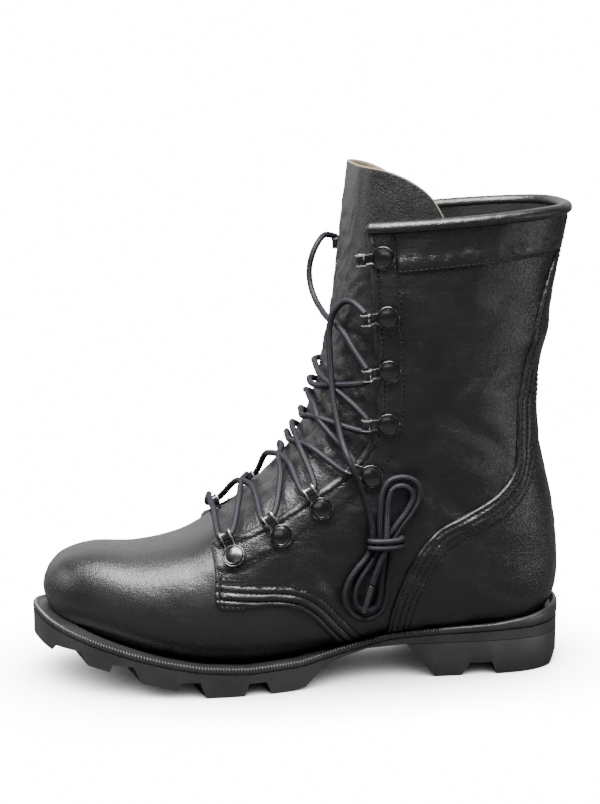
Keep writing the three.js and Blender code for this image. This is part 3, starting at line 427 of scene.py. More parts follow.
# Front and its rise, back and its rise, swing, outer and inner half width, widest, crown, base.
SECTIONS = np.array([
    (0.981, 0.068, 0.981, 0.068, -0.23, 0, 0, 0.5, 0.85, 0.8),
    (0.976, 0.098, 0.976, 0.04, -0.23, 0.22, 0.22, 0.5, 0.8, 0.75),
    (0.962, 0.136, 0.958, 0.004, -0.225, 0.4, 0.4, 0.53, 0.75, 0.55),
    (0.935, 0.172, 0.932, 0, -0.2, 0.57, 0.57, 0.55, 0.7, 0.42),
    (0.883, 0.203, 0.88, 0, -0.165, 0.75, 0.755, 0.56, 0.68, 0.36),
    (0.805, 0.224, 0.803, 0, -0.07, 0.9, 0.88, 0.57, 0.67, 0.34),
    (0.722, 0.264, 0.72, 0, -0.01, 0.985, 0.95, 0.58, 0.66, 0.33),
    (0.656, 0.318, 0.65, 0, 0, 1.01, 0.97, 0.58, 0.64, 0.33),
    (0.596, 0.39, 0.575, 0, 0, 1.0, 0.95, 0.58, 0.6, 0.33),
    (0.543, 0.45, 0.46, 0, 0, 0.97, 0.92, 0.56, 0.56, 0.35),
    (0.508, 0.508, 0.33, 0, 0, 0.93, 0.89, 0.53, 0.52, 0.38),
    (0.487, 0.562, 0.19, 0, 0, 0.9, 0.87, 0.5, 0.48, 0.42),
    (0.475, 0.615, 0.075, 0, 0, 0.88, 0.86, 0.48, 0.45, 0.5),
    (0.464, 0.67, 0.016, 0.08, 0, 0.87, 0.86, 0.48, 0.44, 0.7),
    (0.455, 0.722, 0.022, 0.27, 0, 0.87, 0.86, 0.48, 0.42, 0.74),
    (0.446, 0.782, 0.055, 0.465, 0, 0.88, 0.87, 0.48, 0.4, 0.74),
    (0.438, 0.845, 0.062, 0.62, 0, 0.89, 0.88, 0.47, 0.39, 0.72),
    (0.43, 0.925, 0.042, 0.81, 0, 0.905, 0.895, 0.47, 0.38, 0.68),
    (0.422, 1.02, 0.016, 1.03, 0, 0.92, 0.91, 0.47, 0.38, 0.66),
    (0.408, 1.19, 0, 1.19, 0, 0.92, 0.91, 0.47, 0.4, 0.66),
])
PLAIN_RIM = 0.163


def along_sole(share):
    return HEEL_BACK + np.asarray(share, float) * SOLE_LENGTH


def deck_at(share):
    return HEEL_SEAT * np.interp(share, SOLE_STATIONS[:, 0], SOLE_STATIONS[:, 3])


def rim_at(share):
    rim = np.interp(share, SOLE_STATIONS[:, 0], SOLE_STATIONS[:, 4]) * HEEL_SEAT
    return rim + WELT_THICKNESS - PLAIN_RIM * HEEL_SEAT


def rise_to_height(share, rise):
    seat = deck_at(share) + CLEARANCE
    return seat + np.asarray(rise, float) * (COLLAR_HEIGHT - seat)


def side_line(rows):
    rows = np.array(rows, float)
    return np.column_stack([along_sole(rows[:, 0]), rise_to_height(rows[:, 0], rows[:, 1])])


def smooth_value(values, place):
    last = len(values) - 1
    index = np.clip(np.floor(place).astype(int), 0, last - 1)
    t = place - index
    padded = np.concatenate([[2 * values[0] - values[1]], values, [2 * values[-1] - values[-2]]])
    before, a, b, after = (padded[index + k] for k in range(4))
    slope_a, slope_b = (b - before) / 2, (after - a) / 2
    t2, t3 = t * t, t * t * t
    from_a = (2 * t3 - 3 * t2 + 1) * a + (t3 - 2 * t2 + t) * slope_a
    return from_a + (3 * t2 - 2 * t3) * b + (t3 - t2) * slope_b


columns = [
    along_sole(SECTIONS[:, 0]), rise_to_height(SECTIONS[:, 0], SECTIONS[:, 1]),
    along_sole(SECTIONS[:, 2]), rise_to_height(SECTIONS[:, 2], SECTIONS[:, 3]),
    SECTIONS[:, 4] * UPPER_WIDTH / 2, SECTIONS[:, 5] * UPPER_WIDTH / 2, SECTIONS[:, 6] * UPPER_WIDTH / 2,
    SECTIONS[:, 7], SECTIONS[:, 8], SECTIONS[:, 9],
]


def form_points(place, turn, side):
    front_x, front_z, back_x, back_z, swing, outer, inner, widest, crown, base = (
        smooth_value(values, place) for values in columns
    )
    angle = math.pi * turn
    front_half = angle < math.pi / 2
    along = np.where(front_half, widest * (1 - np.cos(angle)), widest - (1 - widest) * np.cos(angle))
    bow = np.maximum(np.sin(angle), 0) ** np.where(front_half, crown, base)
    bow = np.where((turn <= 0) | (turn >= 1), 0, bow)
    half = np.maximum(np.where(side > 0, outer, inner), 0)
    return np.stack([
        front_x + along * (back_x - front_x),
        swing + side * half * bow,
        front_z + along * (back_z - front_z),
    ], axis=-1)


HALF_RING = 64
ROW_STEP = 1 / 11
FIRST_ROW = 0.06
LAST_ROW = 19.0001
even = np.linspace(0, 1, HALF_RING + 1)
turns = even - 0.055 * np.sin(2 * math.pi * even) - 0.03 * np.sin(4 * math.pi * even)
ring_turns = np.concatenate([turns, turns[1:-1][::-1]])
ring_sides = np.concatenate([np.ones(HALF_RING + 1), -np.ones(HALF_RING - 1)])
form_places = np.arange(FIRST_ROW, LAST_ROW, ROW_STEP)
RING = len(ring_turns)
ROWS = len(form_places)
form = form_points(form_places[:, None], ring_turns[None, :], ring_sides[None, :])
down_rows = np.gradient(form, axis=0)
round_ring = np.roll(form, -1, axis=1) - np.roll(form, 1, axis=1)
normals = np.cross(round_ring, down_rows)
normals /= np.maximum(np.linalg.norm(normals, axis=2), 1e-9)[:, :, None]
middle = form.mean(axis=1, keepdims=True)
if ((form - middle) * normals).sum() < 0:
    normals = -normals
grid_index = np.arange(ROWS * RING).reshape(ROWS, RING)
a = grid_index[:-1]
b = np.roll(grid_index, -1, axis=1)[:-1]
c = np.roll(grid_index, -1, axis=1)[1:]
d = grid_index[1:]
form_triangles = np.concatenate([
    np.stack([a, b, c], axis=-1).reshape(-1, 3), np.stack([a, c, d], axis=-1).reshape(-1, 3),
])
form_attributes = np.concatenate([
    form.reshape(-1, 3), normals.reshape(-1, 3), np.tile(ring_sides, ROWS)[:, None],
], axis=1)
print("form", ROWS, "rows of", RING, "points")

# %% [markdown]
# ## Cutting panels
# A panel is cut from the form like leather from a hide: an outline in the side view says what is
# kept. The mesh is split exactly on that outline, and on lines parallel to it, so that edges,
# raised bands and stitch grooves come out clean.

# %% Cutting tools
def outline_distance(polygon, x, z):
    polygon = np.asarray(polygon, float)
    start, finish = polygon, np.roll(polygon, -1, axis=0)
    step = finish - start
    length = np.maximum((step**2).sum(axis=1), 1e-12)
    best = np.full(len(x), np.inf)
    inside = np.zeros(len(x), bool)
    for (ax, az), bz, (sx, sz), size in zip(start, finish[:, 1], step, length):
        t = np.clip(((x - ax) * sx + (z - az) * sz) / size, 0, 1)
        best = np.minimum(best, (x - ax - t * sx) ** 2 + (z - az - t * sz) ** 2)
        if az != bz:
            crosses = (az > z) != (bz > z)
            inside ^= crosses & (x < ax + (z - az) * sx / (bz - az))
    distance = np.sqrt(best)
    return np.where(inside, distance, -distance)


def split_at(attributes, triangles, values, level):
    values = values - level
    values = np.where(np.abs(values) < 1e-7, 1e-7, values)
    above = values > 0
    count = above[triangles].sum(axis=1)
    whole = triangles[(count == 0) | (count == 3)]
    cut = triangles[(count == 1) | (count == 2)]
    if not len(cut):
        return attributes, triangles, np.empty((0, 2), int)
    flags = above[cut]
    lone_above = flags.sum(axis=1) == 1
    lone = np.where(lone_above, flags.argmax(axis=1), (~flags).argmax(axis=1))
    rows = np.arange(len(cut))
    a, b, c = cut[rows, lone], cut[rows, (lone + 1) % 3], cut[rows, (lone + 2) % 3]
    edges = np.sort(np.concatenate([np.stack([a, b], 1), np.stack([a, c], 1)]), axis=1)
    unique, inverse = np.unique(edges, axis=0, return_inverse=True)
    inverse = inverse.ravel()
    share = values[unique[:, 0]] / (values[unique[:, 0]] - values[unique[:, 1]])
    fresh = attributes[unique[:, 0]] + share[:, None] * (attributes[unique[:, 1]] - attributes[unique[:, 0]])
    base = len(attributes)
    p, q = base + inverse[: len(cut)], base + inverse[len(cut) :]
    made = np.concatenate([np.stack([a, p, q], 1), np.stack([p, b, c], 1), np.stack([p, c, q], 1)])
    return np.vstack([attributes, fresh]), np.vstack([whole, made]), np.stack([p, q], 1)


def keep_above(attributes, triangles, field):
    attributes, triangles, _ = split_at(attributes, triangles, field(attributes), 0)
    kept = triangles[field(attributes)[triangles].mean(axis=1) > 0]
    used, inverse = np.unique(kept, return_inverse=True)
    return attributes[used], inverse.reshape(-1, 3)


def chains(segments):
    neighbours = {}
    for p, q in segments:
        if p != q:
            neighbours.setdefault(int(p), set()).add(int(q))
            neighbours.setdefault(int(q), set()).add(int(p))
    lines = []
    while neighbours:
        ends = [n for n, near in neighbours.items() if len(near) == 1]
        here = ends[0] if ends else next(iter(neighbours))
        line = [here]
        while neighbours.get(here):
            following = neighbours[here].pop()
            neighbours[following].discard(here)
            line.append(following)
            if not neighbours[here]:
                neighbours.pop(here)
            here = following
        neighbours.pop(here, None)
        neighbours = {n: near for n, near in neighbours.items() if near}
        lines.append(line)
    return lines


# %% [markdown]
# ## Creases
# Worn leather folds where the foot bends and where the shaft sags. Each fold is listed by its
# two ends in the side view, a depth and a width. Troughs are negative and ridges positive.

# %% Crease table
# Start x and z, end x and z, bend to one side, depth, width.
CREASES = [
    (74, 128, 30, 96, 6, -2.2, 8),
    (62, 140, 22, 118, 5, 1.8, 9),
    (70, 156, 14, 130, -5, -2.0, 8),
    (40, 160, -16, 204, -5, 2.0, 12),
    (58, 158, 0, 190, -5, -1.4, 9),
    (62, 186, 14, 224, 4, -1.0, 9),
    (66, 236, 30, 208, -5, 0.9, 12),
    (60, 106, 36, 62, 5, -1.0, 9),
    (124, 72, 92, 50, 6, -1.2, 7),
    (138, 78, 108, 50, 5, 1.1, 8),
    (150, 70, 112, 62, 3, -0.7, 4),
    (134, 88, 96, 78, 4, -0.7, 4),
    (104, 96, 70, 86, 4, -0.9, 5),
    (112, 104, 74, 104, 3, 0.8, 5),
    (96, 70, 60, 60, -4, -0.8, 6),
    (84, 40, 66, 78, 4, 0.7, 7),
    (170, 66, 138, 48, 4, -0.6, 9),
    (196, 70, 172, 44, -5, -0.6, 7),
    (206, 66, 188, 42, -4, 0.5, 7),
    (214, 62, 202, 40, -3, -0.5, 6),
    (30, 60, -8, 44, 5, -0.8, 9),
    (24, 84, -12, 76, -4, 0.7, 9),
]


def crease_lift(points):
    lift = np.zeros(len(points))
    x, z = points[:, 0], points[:, 2]
    for x0, z0, x1, z1, bend, depth, width in CREASES:
        reach = (np.abs(x - (x0 + x1) / 2) < abs(x1 - x0) / 2 + 3 * width) & (
            np.abs(z - (z0 + z1) / 2) < abs(z1 - z0) / 2 + 3 * width
        )
        if not reach.any():
            continue
        length = math.hypot(x1 - x0, z1 - z0)
        ux, uz = (x1 - x0) / length, (z1 - z0) / length
        along = ((x[reach] - x0) * ux + (z[reach] - z0) * uz) / length
        across = -(x[reach] - x0) * uz + (z[reach] - z0) * ux
        across = across - bend * 4 * along * (1 - along)
        taper = np.clip(1 - np.abs(2 * along - 1) ** 3, 0, 1) * (along > 0) * (along < 1)
        lift[reach] += depth * taper * np.exp(-((across / width * 1.6) ** 2))
    return lift


def soft_noise(points, scale, seed):
    """A smooth random field from a few waves, the same on every run."""
    random = np.random.default_rng(seed)
    total = np.zeros(len(points))
    for _ in range(14):
        direction = random.normal(size=3)
        direction /= np.linalg.norm(direction)
        wave = random.uniform(0.6, 1.5) * 2 * math.pi / scale
        total += np.sin(points @ direction * wave + random.uniform(0, 2 * math.pi))
    return total / 4


def creased_noise(points, scale, seed):
    """Sharp valleys between round folds."""
    return 0.6 - np.abs(soft_noise(points, scale, seed))


def worn(attributes, amount=1.0):
    points = attributes[:, :3]
    calm = np.clip((points[:, 0] - 205) / 30, 0, 1)
    lumps = 0.34 * soft_noise(points, 34, 5) + 0.14 * soft_noise(points, 13, 6)
    bend = np.exp(-(((points[:, 2] - 88) / 42) ** 2)) * np.clip((points[:, 0] - 30) / 30, 0, 1)
    fine = -0.3 * np.clip(creased_noise(points * (0.7, 1, 1.5), 15, 8), 0, 1) * bend
    return amount * (crease_lift(points) + (lumps + fine) * (1 - 0.85 * calm))


# %% Panel maker
def give(piece, *materials):
    piece.data.materials.clear()
    for material in materials:
        piece.data.materials.append(material)


def region(polygon):
    polygon = np.asarray(polygon, float)
    return lambda attributes: outline_distance(polygon, attributes[:, 0], attributes[:, 2])


def lower(*fields):
    return lambda attributes: np.min([field(attributes) for field in fields], axis=0)


seam_lines = {}


def panel(name, keep, profile, levels, materials, trims=(), thickness=1.0, rows_of_stitches=(), bumps=None,
          amount=1.0, seam=None, raw_edge=0.0, edge_levels=()):
    """A panel of the form inside keep, lifted by profile(distance from its edge, from its seam)."""
    seam = seam or keep
    attributes, triangles = form_attributes, form_triangles
    for trim in trims:
        attributes, triangles = keep_above(attributes, triangles, trim)
    attributes, triangles = keep_above(attributes, triangles, keep)
    for level in levels:
        attributes, triangles, _ = split_at(attributes, triangles, seam(attributes), level)
    for level in edge_levels:
        attributes, triangles, _ = split_at(attributes, triangles, keep(attributes), level)
    contour = {}
    for level in rows_of_stitches:
        attributes, triangles, segments = split_at(attributes, triangles, seam(attributes), level)
        contour[level] = segments
    distance = keep(attributes)
    unit = attributes[:, 3:6] / np.maximum(np.linalg.norm(attributes[:, 3:6], axis=1), 1e-9)[:, None]
    lift = profile(distance, seam(attributes)) + worn(attributes, amount)
    if bumps is not None:
        lift = lift + bumps(attributes, distance)
    points = attributes[:, :3] + unit * lift[:, None]
    for level, segments in contour.items():
        for line in chains(segments):
            if len(line) > 4:
                seam_lines.setdefault((name, level), []).append(
                    np.hstack([points[line], unit[line], attributes[line, 6:7]])
                )
    uv = np.column_stack([attributes[:, 0] / 100, attributes[:, 2] / 100])
    piece = new_mesh(name, points * MM, triangles, uv)
    give(piece, *materials)
    if raw_edge:
        near_edge = distance[triangles].mean(axis=1) < raw_edge
        piece.data.polygons.foreach_set("material_index", near_edge.astype(int))
    weld_and_thicken(piece, thickness)
    return piece


def weld_and_thicken(piece, thickness):
    face_outwards(piece, merge=2e-6)
    mesh = piece.data
    points = np.empty(len(mesh.vertices) * 3)
    mesh.vertices.foreach_get("co", points)
    facing = np.empty(len(mesh.vertices) * 3)
    mesh.vertices.foreach_get("normal", facing)
    points, facing = points.reshape(-1, 3), facing.reshape(-1, 3)
    sides = np.sign(points[:, 1]) * facing[:, 1] * (np.abs(points[:, 1]) > 0.02)
    if sides.sum() < 0:
        mesh.flip_normals()
    solid = piece.modifiers.new("thickness", "SOLIDIFY")
    solid.thickness = thickness * MM
    solid.offset = -1
    solid.material_offset = solid.material_offset_rim = len(mesh.materials) - 1
    bpy.ops.object.modifier_apply(modifier=solid.name)
    piece.data.polygons.foreach_set("use_smooth", [True] * len(piece.data.polygons))
    bpy.ops.object.shade_smooth_by_angle(angle=math.radians(50))
    piece.select_set(False)

# %% [markdown]
# ## Leather, rubber, cord and enamel
# Each finish is procedural, in the boot's own coordinates. The leather's grain, its patches and
# its scuffs are one shader group, which every leather shares at its own strength.

# %% Shader helpers
def new_group(name, inputs, outputs):
    group = bpy.data.node_groups.new(name, "ShaderNodeTree")
    for label, kind, value in inputs:
        socket = group.interface.new_socket(label, in_out="INPUT", socket_type=kind)
        if value is not None:
            socket.default_value = value
    for label, kind in outputs:
        group.interface.new_socket(label, in_out="OUTPUT", socket_type=kind)
    return group, group.nodes.new("NodeGroupInput"), group.nodes.new("NodeGroupOutput")


def math_node(nodes, links, operation, first, second=None, third=None, clamp=False):
    node = nodes.new("ShaderNodeMath")
    node.operation = operation
    node.use_clamp = clamp
    for socket, value in zip(node.inputs, (first, second, third)):
        if value is None:
            continue
        if isinstance(value, (int, float)):
            socket.default_value = value
        else:
            links.new(value, socket)
    return node.outputs[0]


def noise_node(nodes, links, coordinates, scale, detail=3.0, roughness=0.55):
    node = nodes.new("ShaderNodeTexNoise")
    node.inputs["Detail"].default_value = detail
    node.inputs["Roughness"].default_value = roughness
    links.new(coordinates, node.inputs["Vector"])
    if isinstance(scale, (int, float)):
        node.inputs["Scale"].default_value = scale
    else:
        links.new(scale, node.inputs["Scale"])
    return node.outputs[0]


def leather_group():
    group, given, result = new_group(
        "leather_grain",
        [("Vector", "NodeSocketVector", None), ("Grain", "NodeSocketFloat", 900.0)],
        [("Height", "NodeSocketFloat"), ("Patches", "NodeSocketFloat"), ("Scuffs", "NodeSocketFloat")],
    )
    nodes, links = group.nodes, group.links
    vector, grain = given.outputs["Vector"], given.outputs["Grain"]
    cells = nodes.new("ShaderNodeTexVoronoi")
    cells.feature = "DISTANCE_TO_EDGE"
    links.new(vector, cells.inputs["Vector"])
    links.new(grain, cells.inputs["Scale"])
    pebbles = math_node(nodes, links, "SMOOTH_MIN", cells.outputs["Distance"], 0.35, 0.2)
    fine = noise_node(nodes, links, vector, 420.0, 4.0)
    broad = noise_node(nodes, links, vector, 55.0, 3.0)
    height = math_node(nodes, links, "MULTIPLY", pebbles, 1.4)
    height = math_node(nodes, links, "MULTIPLY_ADD", fine, 0.8, height)
    height = math_node(nodes, links, "MULTIPLY_ADD", broad, 1.6, height)
    links.new(height, result.inputs["Height"])
    links.new(noise_node(nodes, links, vector, 22.0, 4.0), result.inputs["Patches"])
    stretched = nodes.new("ShaderNodeMapping")
    stretched.inputs["Scale"].default_value = (1.0, 1.0, 5.0)
    links.new(vector, stretched.inputs["Vector"])
    streaks = noise_node(nodes, links, stretched.outputs["Vector"], 70.0, 5.0, 0.65)
    scuffs = math_node(nodes, links, "GREATER_THAN", streaks, 0.66)
    soft = math_node(nodes, links, "MULTIPLY_ADD", streaks, 9.0, -5.6, clamp=True)
    links.new(math_node(nodes, links, "MAXIMUM", soft, math_node(nodes, links, "MULTIPLY", scuffs, 0.2)),
              result.inputs["Scuffs"])
    return group


grain_group = leather_group()


def start_material(name, color, roughness):
    material = bpy.data.materials.new(name)
    material.use_nodes = True
    nodes, links = material.node_tree.nodes, material.node_tree.links
    shader = nodes["Principled BSDF"]
    shader.inputs["Base Color"].default_value = (*color, 1)
    shader.inputs["Roughness"].default_value = roughness
    coordinates = nodes.new("ShaderNodeTexCoord").outputs["Object"]
    return material, nodes, links, shader, coordinates


def color_ramp(nodes, links, factor, stops):
    ramp = nodes.new("ShaderNodeValToRGB")
    while len(ramp.color_ramp.elements) < len(stops):
        ramp.color_ramp.elements.new(0.5)
    for element, (place, color) in zip(ramp.color_ramp.elements, stops):
        element.position = place
        element.color = (*color, 1)
    links.new(factor, ramp.inputs["Fac"])
    return ramp.outputs["Color"]


def bump_node(nodes, links, height, strength, distance, under=None):
    bump = nodes.new("ShaderNodeBump")
    if under:
        links.new(under, bump.inputs["Normal"])
    bump.inputs["Strength"].default_value = strength
    bump.inputs["Distance"].default_value = distance
    links.new(height, bump.inputs["Height"])
    return bump.outputs["Normal"]


def leather(name, dark, light, roughness, grain=900.0, relief=0.35, coat=0.1, lines=(60, 60, 60),
            depth=0.0004):
    """A leather finish. lines stretches its finest wrinkles, and depth is theirs, in metres."""
    material, nodes, links, shader, coordinates = start_material(name, dark, roughness)
    skin = nodes.new("ShaderNodeGroup")
    skin.node_tree = grain_group
    skin.inputs["Grain"].default_value = grain
    links.new(coordinates, skin.inputs["Vector"])
    color = color_ramp(nodes, links, skin.outputs["Patches"], [(0.3, dark), (0.75, light)])
    mix = nodes.new("ShaderNodeMix")
    mix.data_type = "RGBA"
    links.new(math_node(nodes, links, "MULTIPLY", skin.outputs["Scuffs"], 0.35), mix.inputs["Factor"])
    links.new(color, mix.inputs["A"])
    mix.inputs["B"].default_value = tuple(min(value * 2.6, 1) for value in light) + (1,)
    links.new(mix.outputs["Result"], shader.inputs["Base Color"])
    rough = math_node(nodes, links, "MULTIPLY_ADD", skin.outputs["Patches"], 0.28, roughness - 0.14)
    rough = math_node(nodes, links, "MULTIPLY_ADD", skin.outputs["Scuffs"], 0.12, rough)
    links.new(rough, shader.inputs["Roughness"])
    shader.inputs["Coat Weight"].default_value = coat
    shader.inputs["Coat Roughness"].default_value = 0.35
    stretched = nodes.new("ShaderNodeMapping")
    stretched.inputs["Scale"].default_value = lines
    links.new(coordinates, stretched.inputs["Vector"])
    wrinkles = noise_node(nodes, links, stretched.outputs["Vector"], 1.0, 4.0, 0.6)
    grained = bump_node(nodes, links, skin.outputs["Height"], relief, 0.0004)
    links.new(bump_node(nodes, links, wrinkles, 0.8, depth, grained), shader.inputs["Normal"])
    return material


def rubber(name, dark, light, roughness=0.62):
    material, nodes, links, shader, coordinates = start_material(name, dark, roughness)
    cloud = noise_node(nodes, links, coordinates, 45.0, 4.0)
    specks = noise_node(nodes, links, coordinates, 1400.0, 2.0)
    color = color_ramp(nodes, links, cloud, [(0.35, dark), (0.7, light)])
    links.new(color, shader.inputs["Base Color"])
    rough = math_node(nodes, links, "MULTIPLY_ADD", cloud, 0.2, roughness - 0.1)
    links.new(rough, shader.inputs["Roughness"])
    links.new(bump_node(nodes, links, specks, 0.3, 0.0002), shader.inputs["Normal"])
    return material


def cord_material(name, dark, light):
    material, nodes, links, shader, coordinates = start_material(name, dark, 0.6)
    around = nodes.new("ShaderNodeUVMap")
    around.uv_map = "along"
    split = nodes.new("ShaderNodeSeparateXYZ")
    links.new(around.outputs["UV"], split.inputs[0])
    angle = math_node(nodes, links, "MULTIPLY", split.outputs[0], 2 * math.pi * 4)
    climb = math_node(nodes, links, "MULTIPLY", split.outputs[1], 2 * math.pi * 2 * 10 / BRAID_PITCH)
    left = math_node(nodes, links, "COSINE", math_node(nodes, links, "ADD", angle, climb))
    right = math_node(nodes, links, "COSINE", math_node(nodes, links, "SUBTRACT", angle, climb))
    check = math_node(nodes, links, "MULTIPLY", left, right)
    factor = math_node(nodes, links, "MULTIPLY_ADD", check, 0.5, 0.5)
    links.new(color_ramp(nodes, links, factor, [(0.42, dark), (0.72, light)]), shader.inputs["Base Color"])
    fuzz = noise_node(nodes, links, coordinates, 2600.0, 2.0)
    links.new(bump_node(nodes, links, fuzz, 0.35, 0.0002), shader.inputs["Normal"])
    shader.inputs["Specular IOR Level"].default_value = 0.25
    return material


def enamel(name, dark, bright):
    material, nodes, links, shader, coordinates = start_material(name, dark, 0.3)
    # This point mask turns the enamel into bright metal. It is partly worn enamel and partly painted
    # highlights on rims, edges and ends.
    wear_and_highlight_mask = nodes.new("ShaderNodeAttribute")
    wear_and_highlight_mask.attribute_name = "wear_and_highlight"
    patches = noise_node(nodes, links, coordinates, 500.0, 4.0)
    edge = math_node(nodes, links, "MULTIPLY_ADD", patches, 0.9, -0.25)
    edge = math_node(nodes, links, "MULTIPLY", wear_and_highlight_mask.outputs["Fac"], math_node(
        nodes, links, "ADD", edge, 0.5, clamp=True))
    factor = math_node(nodes, links, "MULTIPLY_ADD", edge, 1.6, -0.3, clamp=True)
    links.new(color_ramp(nodes, links, factor, [(0.2, dark), (0.9, bright)]), shader.inputs["Base Color"])
    links.new(factor, shader.inputs["Metallic"])
    links.new(math_node(nodes, links, "MULTIPLY_ADD", patches, 0.2, 0.14), shader.inputs["Roughness"])
    shader.inputs["Coat Weight"].default_value = 0.4
    return material


vamp_leather = leather("smooth_leather", (0.0042, 0.0042, 0.0047), (0.0095, 0.0095, 0.0105), 0.33)
quarter_leather = leather("creased_leather", (0.0019, 0.0019, 0.0023), (0.0046, 0.0046, 0.0053), 0.34,
                          relief=0.5, lines=(60, 60, 300), depth=0.0005)
tongue_leather = leather("soft_tongue_leather", (0.003, 0.003, 0.0034), (0.0075, 0.0075, 0.0079), 0.45,
                         620.0, 0.6, lines=(300, 300, 75), depth=0.0009)
collar_leather = leather("collar_leather", (0.0025, 0.0025, 0.0028), (0.006, 0.006, 0.0065), 0.33, 800.0, 0.5)
suede = leather("raw_suede_edge", (0.1, 0.075, 0.052), (0.24, 0.19, 0.14), 0.9, 1500.0, 0.8, 0.0)
sole_rubber = rubber("sole_rubber", (0.01, 0.01, 0.0104), (0.019, 0.019, 0.0194), 0.5)
welt_rubber = rubber("welt_rubber", (0.011, 0.011, 0.0115), (0.02, 0.02, 0.0205), 0.42)
lace_black = cord_material("lace_black", (0.0004, 0.0004, 0.0007), (0.019, 0.019, 0.027))
thread = cord_material("waxed_thread", (0.0008, 0.0008, 0.001), (0.003, 0.003, 0.0034))
loop_enamel = enamel("loop_enamel", (0.004, 0.004, 0.0045), (0.5, 0.49, 0.48))
tip_plastic = rubber("tip_plastic", (0.012, 0.012, 0.013), (0.03, 0.03, 0.033), 0.25)
inside_board = rubber("inside_board", (0.012, 0.011, 0.01), (0.02, 0.018, 0.016), 0.9)


for piece in lace_pieces:
    give(piece, lace_black)

# %% [markdown]
# ## Panels of the upper
# The body leather is pulled over the last first. The quarters lie on it, and on them the facing
# strips, the heel counter and the cuff band, each with its folded or raised edge.

# %% Panel outlines
HIGH = COLLAR_HEIGHT * 1.5
THROAT_EDGE = [
    (0.66, 0.29), (0.63, 0.307), (0.568, 0.344), (0.503, 0.39), (0.436, 0.438), (0.402, 0.478),
    (0.378, 0.54), (0.373, 0.61), (0.377, 0.72), (0.382, 0.86), (0.39, 0.97), (0.403, 1.05),
]
QUARTER_FRONT = [
    (0.36, -0.1), (0.42, -0.02), (0.465, 0.055), (0.52, 0.135), (0.61, 0.153), (0.668, 0.156),
    (0.672, 0.23), (0.676, 0.283),
]
COUNTER_FRONT = [
    (0.345, -0.1), (0.352, 0.03), (0.345, 0.1), (0.325, 0.17), (0.297, 0.235), (0.255, 0.285),
    (0.2, 0.32), (0.145, 0.365), (0.12, 0.41), (0.115, 0.48), (0.112, 0.58), (0.096, 0.7),
    (0.07, 0.84), (0.04, 0.94), (0.028, 1.02),
]
EYESTAY_TOE = (0.674, 0.281)
EYESTAY_HEEL = (0.67, 0.222)
EYESTAY_WIDTH = 15
QUARTER_LIFT = 1.2
OVER_QUARTERS = QUARTER_LIFT + 0.1


def throat_line(width):
    points = side_line(THROAT_EDGE)
    last = len(points) - 1
    along = np.array([points[min(i + 1, last)] - points[max(i - 1, 0)] for i in range(len(points))])
    along /= np.linalg.norm(along, axis=1)[:, None]
    return points + width * np.column_stack([-along[:, 1], along[:, 0]])


def corner(share, rise):
    return (float(along_sole(share)), float(rise_to_height(share, rise)))


throat_outline = np.vstack([
    spline(throat_line(0)), [(along_sole(0.41), HIGH), (along_sole(1), HIGH), corner(0.66, 0.5)],
])
quarter_outline = np.vstack([
    spline(side_line(QUARTER_FRONT)),
    [corner(0.66, 0.3), (along_sole(0.6), HIGH), (along_sole(-0.2), HIGH), (along_sole(-0.2), -60)],
])
quarter_seam = np.vstack([
    spline(side_line(QUARTER_FRONT[:6])),
    [corner(0.8, 0.156), (along_sole(0.8), HIGH), (along_sole(-0.2), HIGH), (along_sole(-0.2), -60)],
])
counter_outline = np.vstack([
    spline(side_line(COUNTER_FRONT)), [(along_sole(-0.2), HIGH), (along_sole(-0.2), -60)],
])
eyestay_outline = np.vstack([
    [corner(*EYESTAY_TOE)], spline(throat_line(-0.7)), spline(throat_line(EYESTAY_WIDTH)[1:])[::-1],
    [corner(*EYESTAY_HEEL)],
])


def collar_field(attributes):
    heights = [COLLAR_HEIGHT + COLLAR_RISE * share for share in (1.3, 1, 0, 0)]
    return np.interp(attributes[:, 0], along_sole([-0.1, 0.06, 0.42, 0.55]), heights) - attributes[:, 2]


def seat_field(attributes):
    share = (attributes[:, 0] - HEEL_BACK) / SOLE_LENGTH
    return attributes[:, 2] - deck_at(share) + 1.5


def outside_of(outline):
    inside_field = region(outline)
    return lambda attributes: -inside_field(attributes)


def rounded(distance, height, reach):
    share = np.clip(distance / reach, 0, 1)
    return height * np.sqrt(np.clip(1 - (1 - share) ** 2, 0, 1))


def band(distance, low, high, height):
    """A raised band, like the padding that stands up between two rows of stitches."""
    share = np.clip((distance - low) / (high - low), 0, 1)
    return height * np.sin(math.pi * share) ** 0.8


def ridge(distance, place, height, width):
    return height * np.exp(-(((distance - place) / width) ** 2))


def seam_relief(distance, bands, grooves):
    """Raised bands, as start, end and height, less grooves, as place, depth and width."""
    raised = sum(band(distance, *row) for row in bands)
    return raised - sum(ridge(distance, *row) for row in grooves)


# %% Body leather
body = panel(
    "body_leather", outside_of(throat_outline), lambda edge, d: rounded(d, 1.0, 1.4) - 1.0, (0.5, 1.4),
    [vamp_leather], trims=(collar_field, seat_field), thickness=2.2, amount=0.3,
)
finish_piece(body, "upper_leather", "upper")

# %% Quarters
QUARTER_BANDS = [(1.2, 3.9, 0.7), (4.4, 8.3, 1.1), (8.9, 12.3, 0.6)]
QUARTER_GROOVES = [(0.9, 0.2, 0.35), (4.1, 0.25, 0.35), (8.6, 0.25, 0.35), (12.6, 0.35, 0.45)]
FRONT_BANDS = [(0.2, 2.7, 0.9)]
FRONT_GROOVES = [(3.0, 0.4, 0.4)]


def quarter_profile(edge, d):
    lift = rounded(edge, QUARTER_LIFT, 0.6) + seam_relief(d, QUARTER_BANDS, QUARTER_GROOVES)
    front = np.clip(d - edge - 0.6, 0, 1)
    return lift * (1 - 0.3 * front) + front * seam_relief(edge, FRONT_BANDS, FRONT_GROOVES)


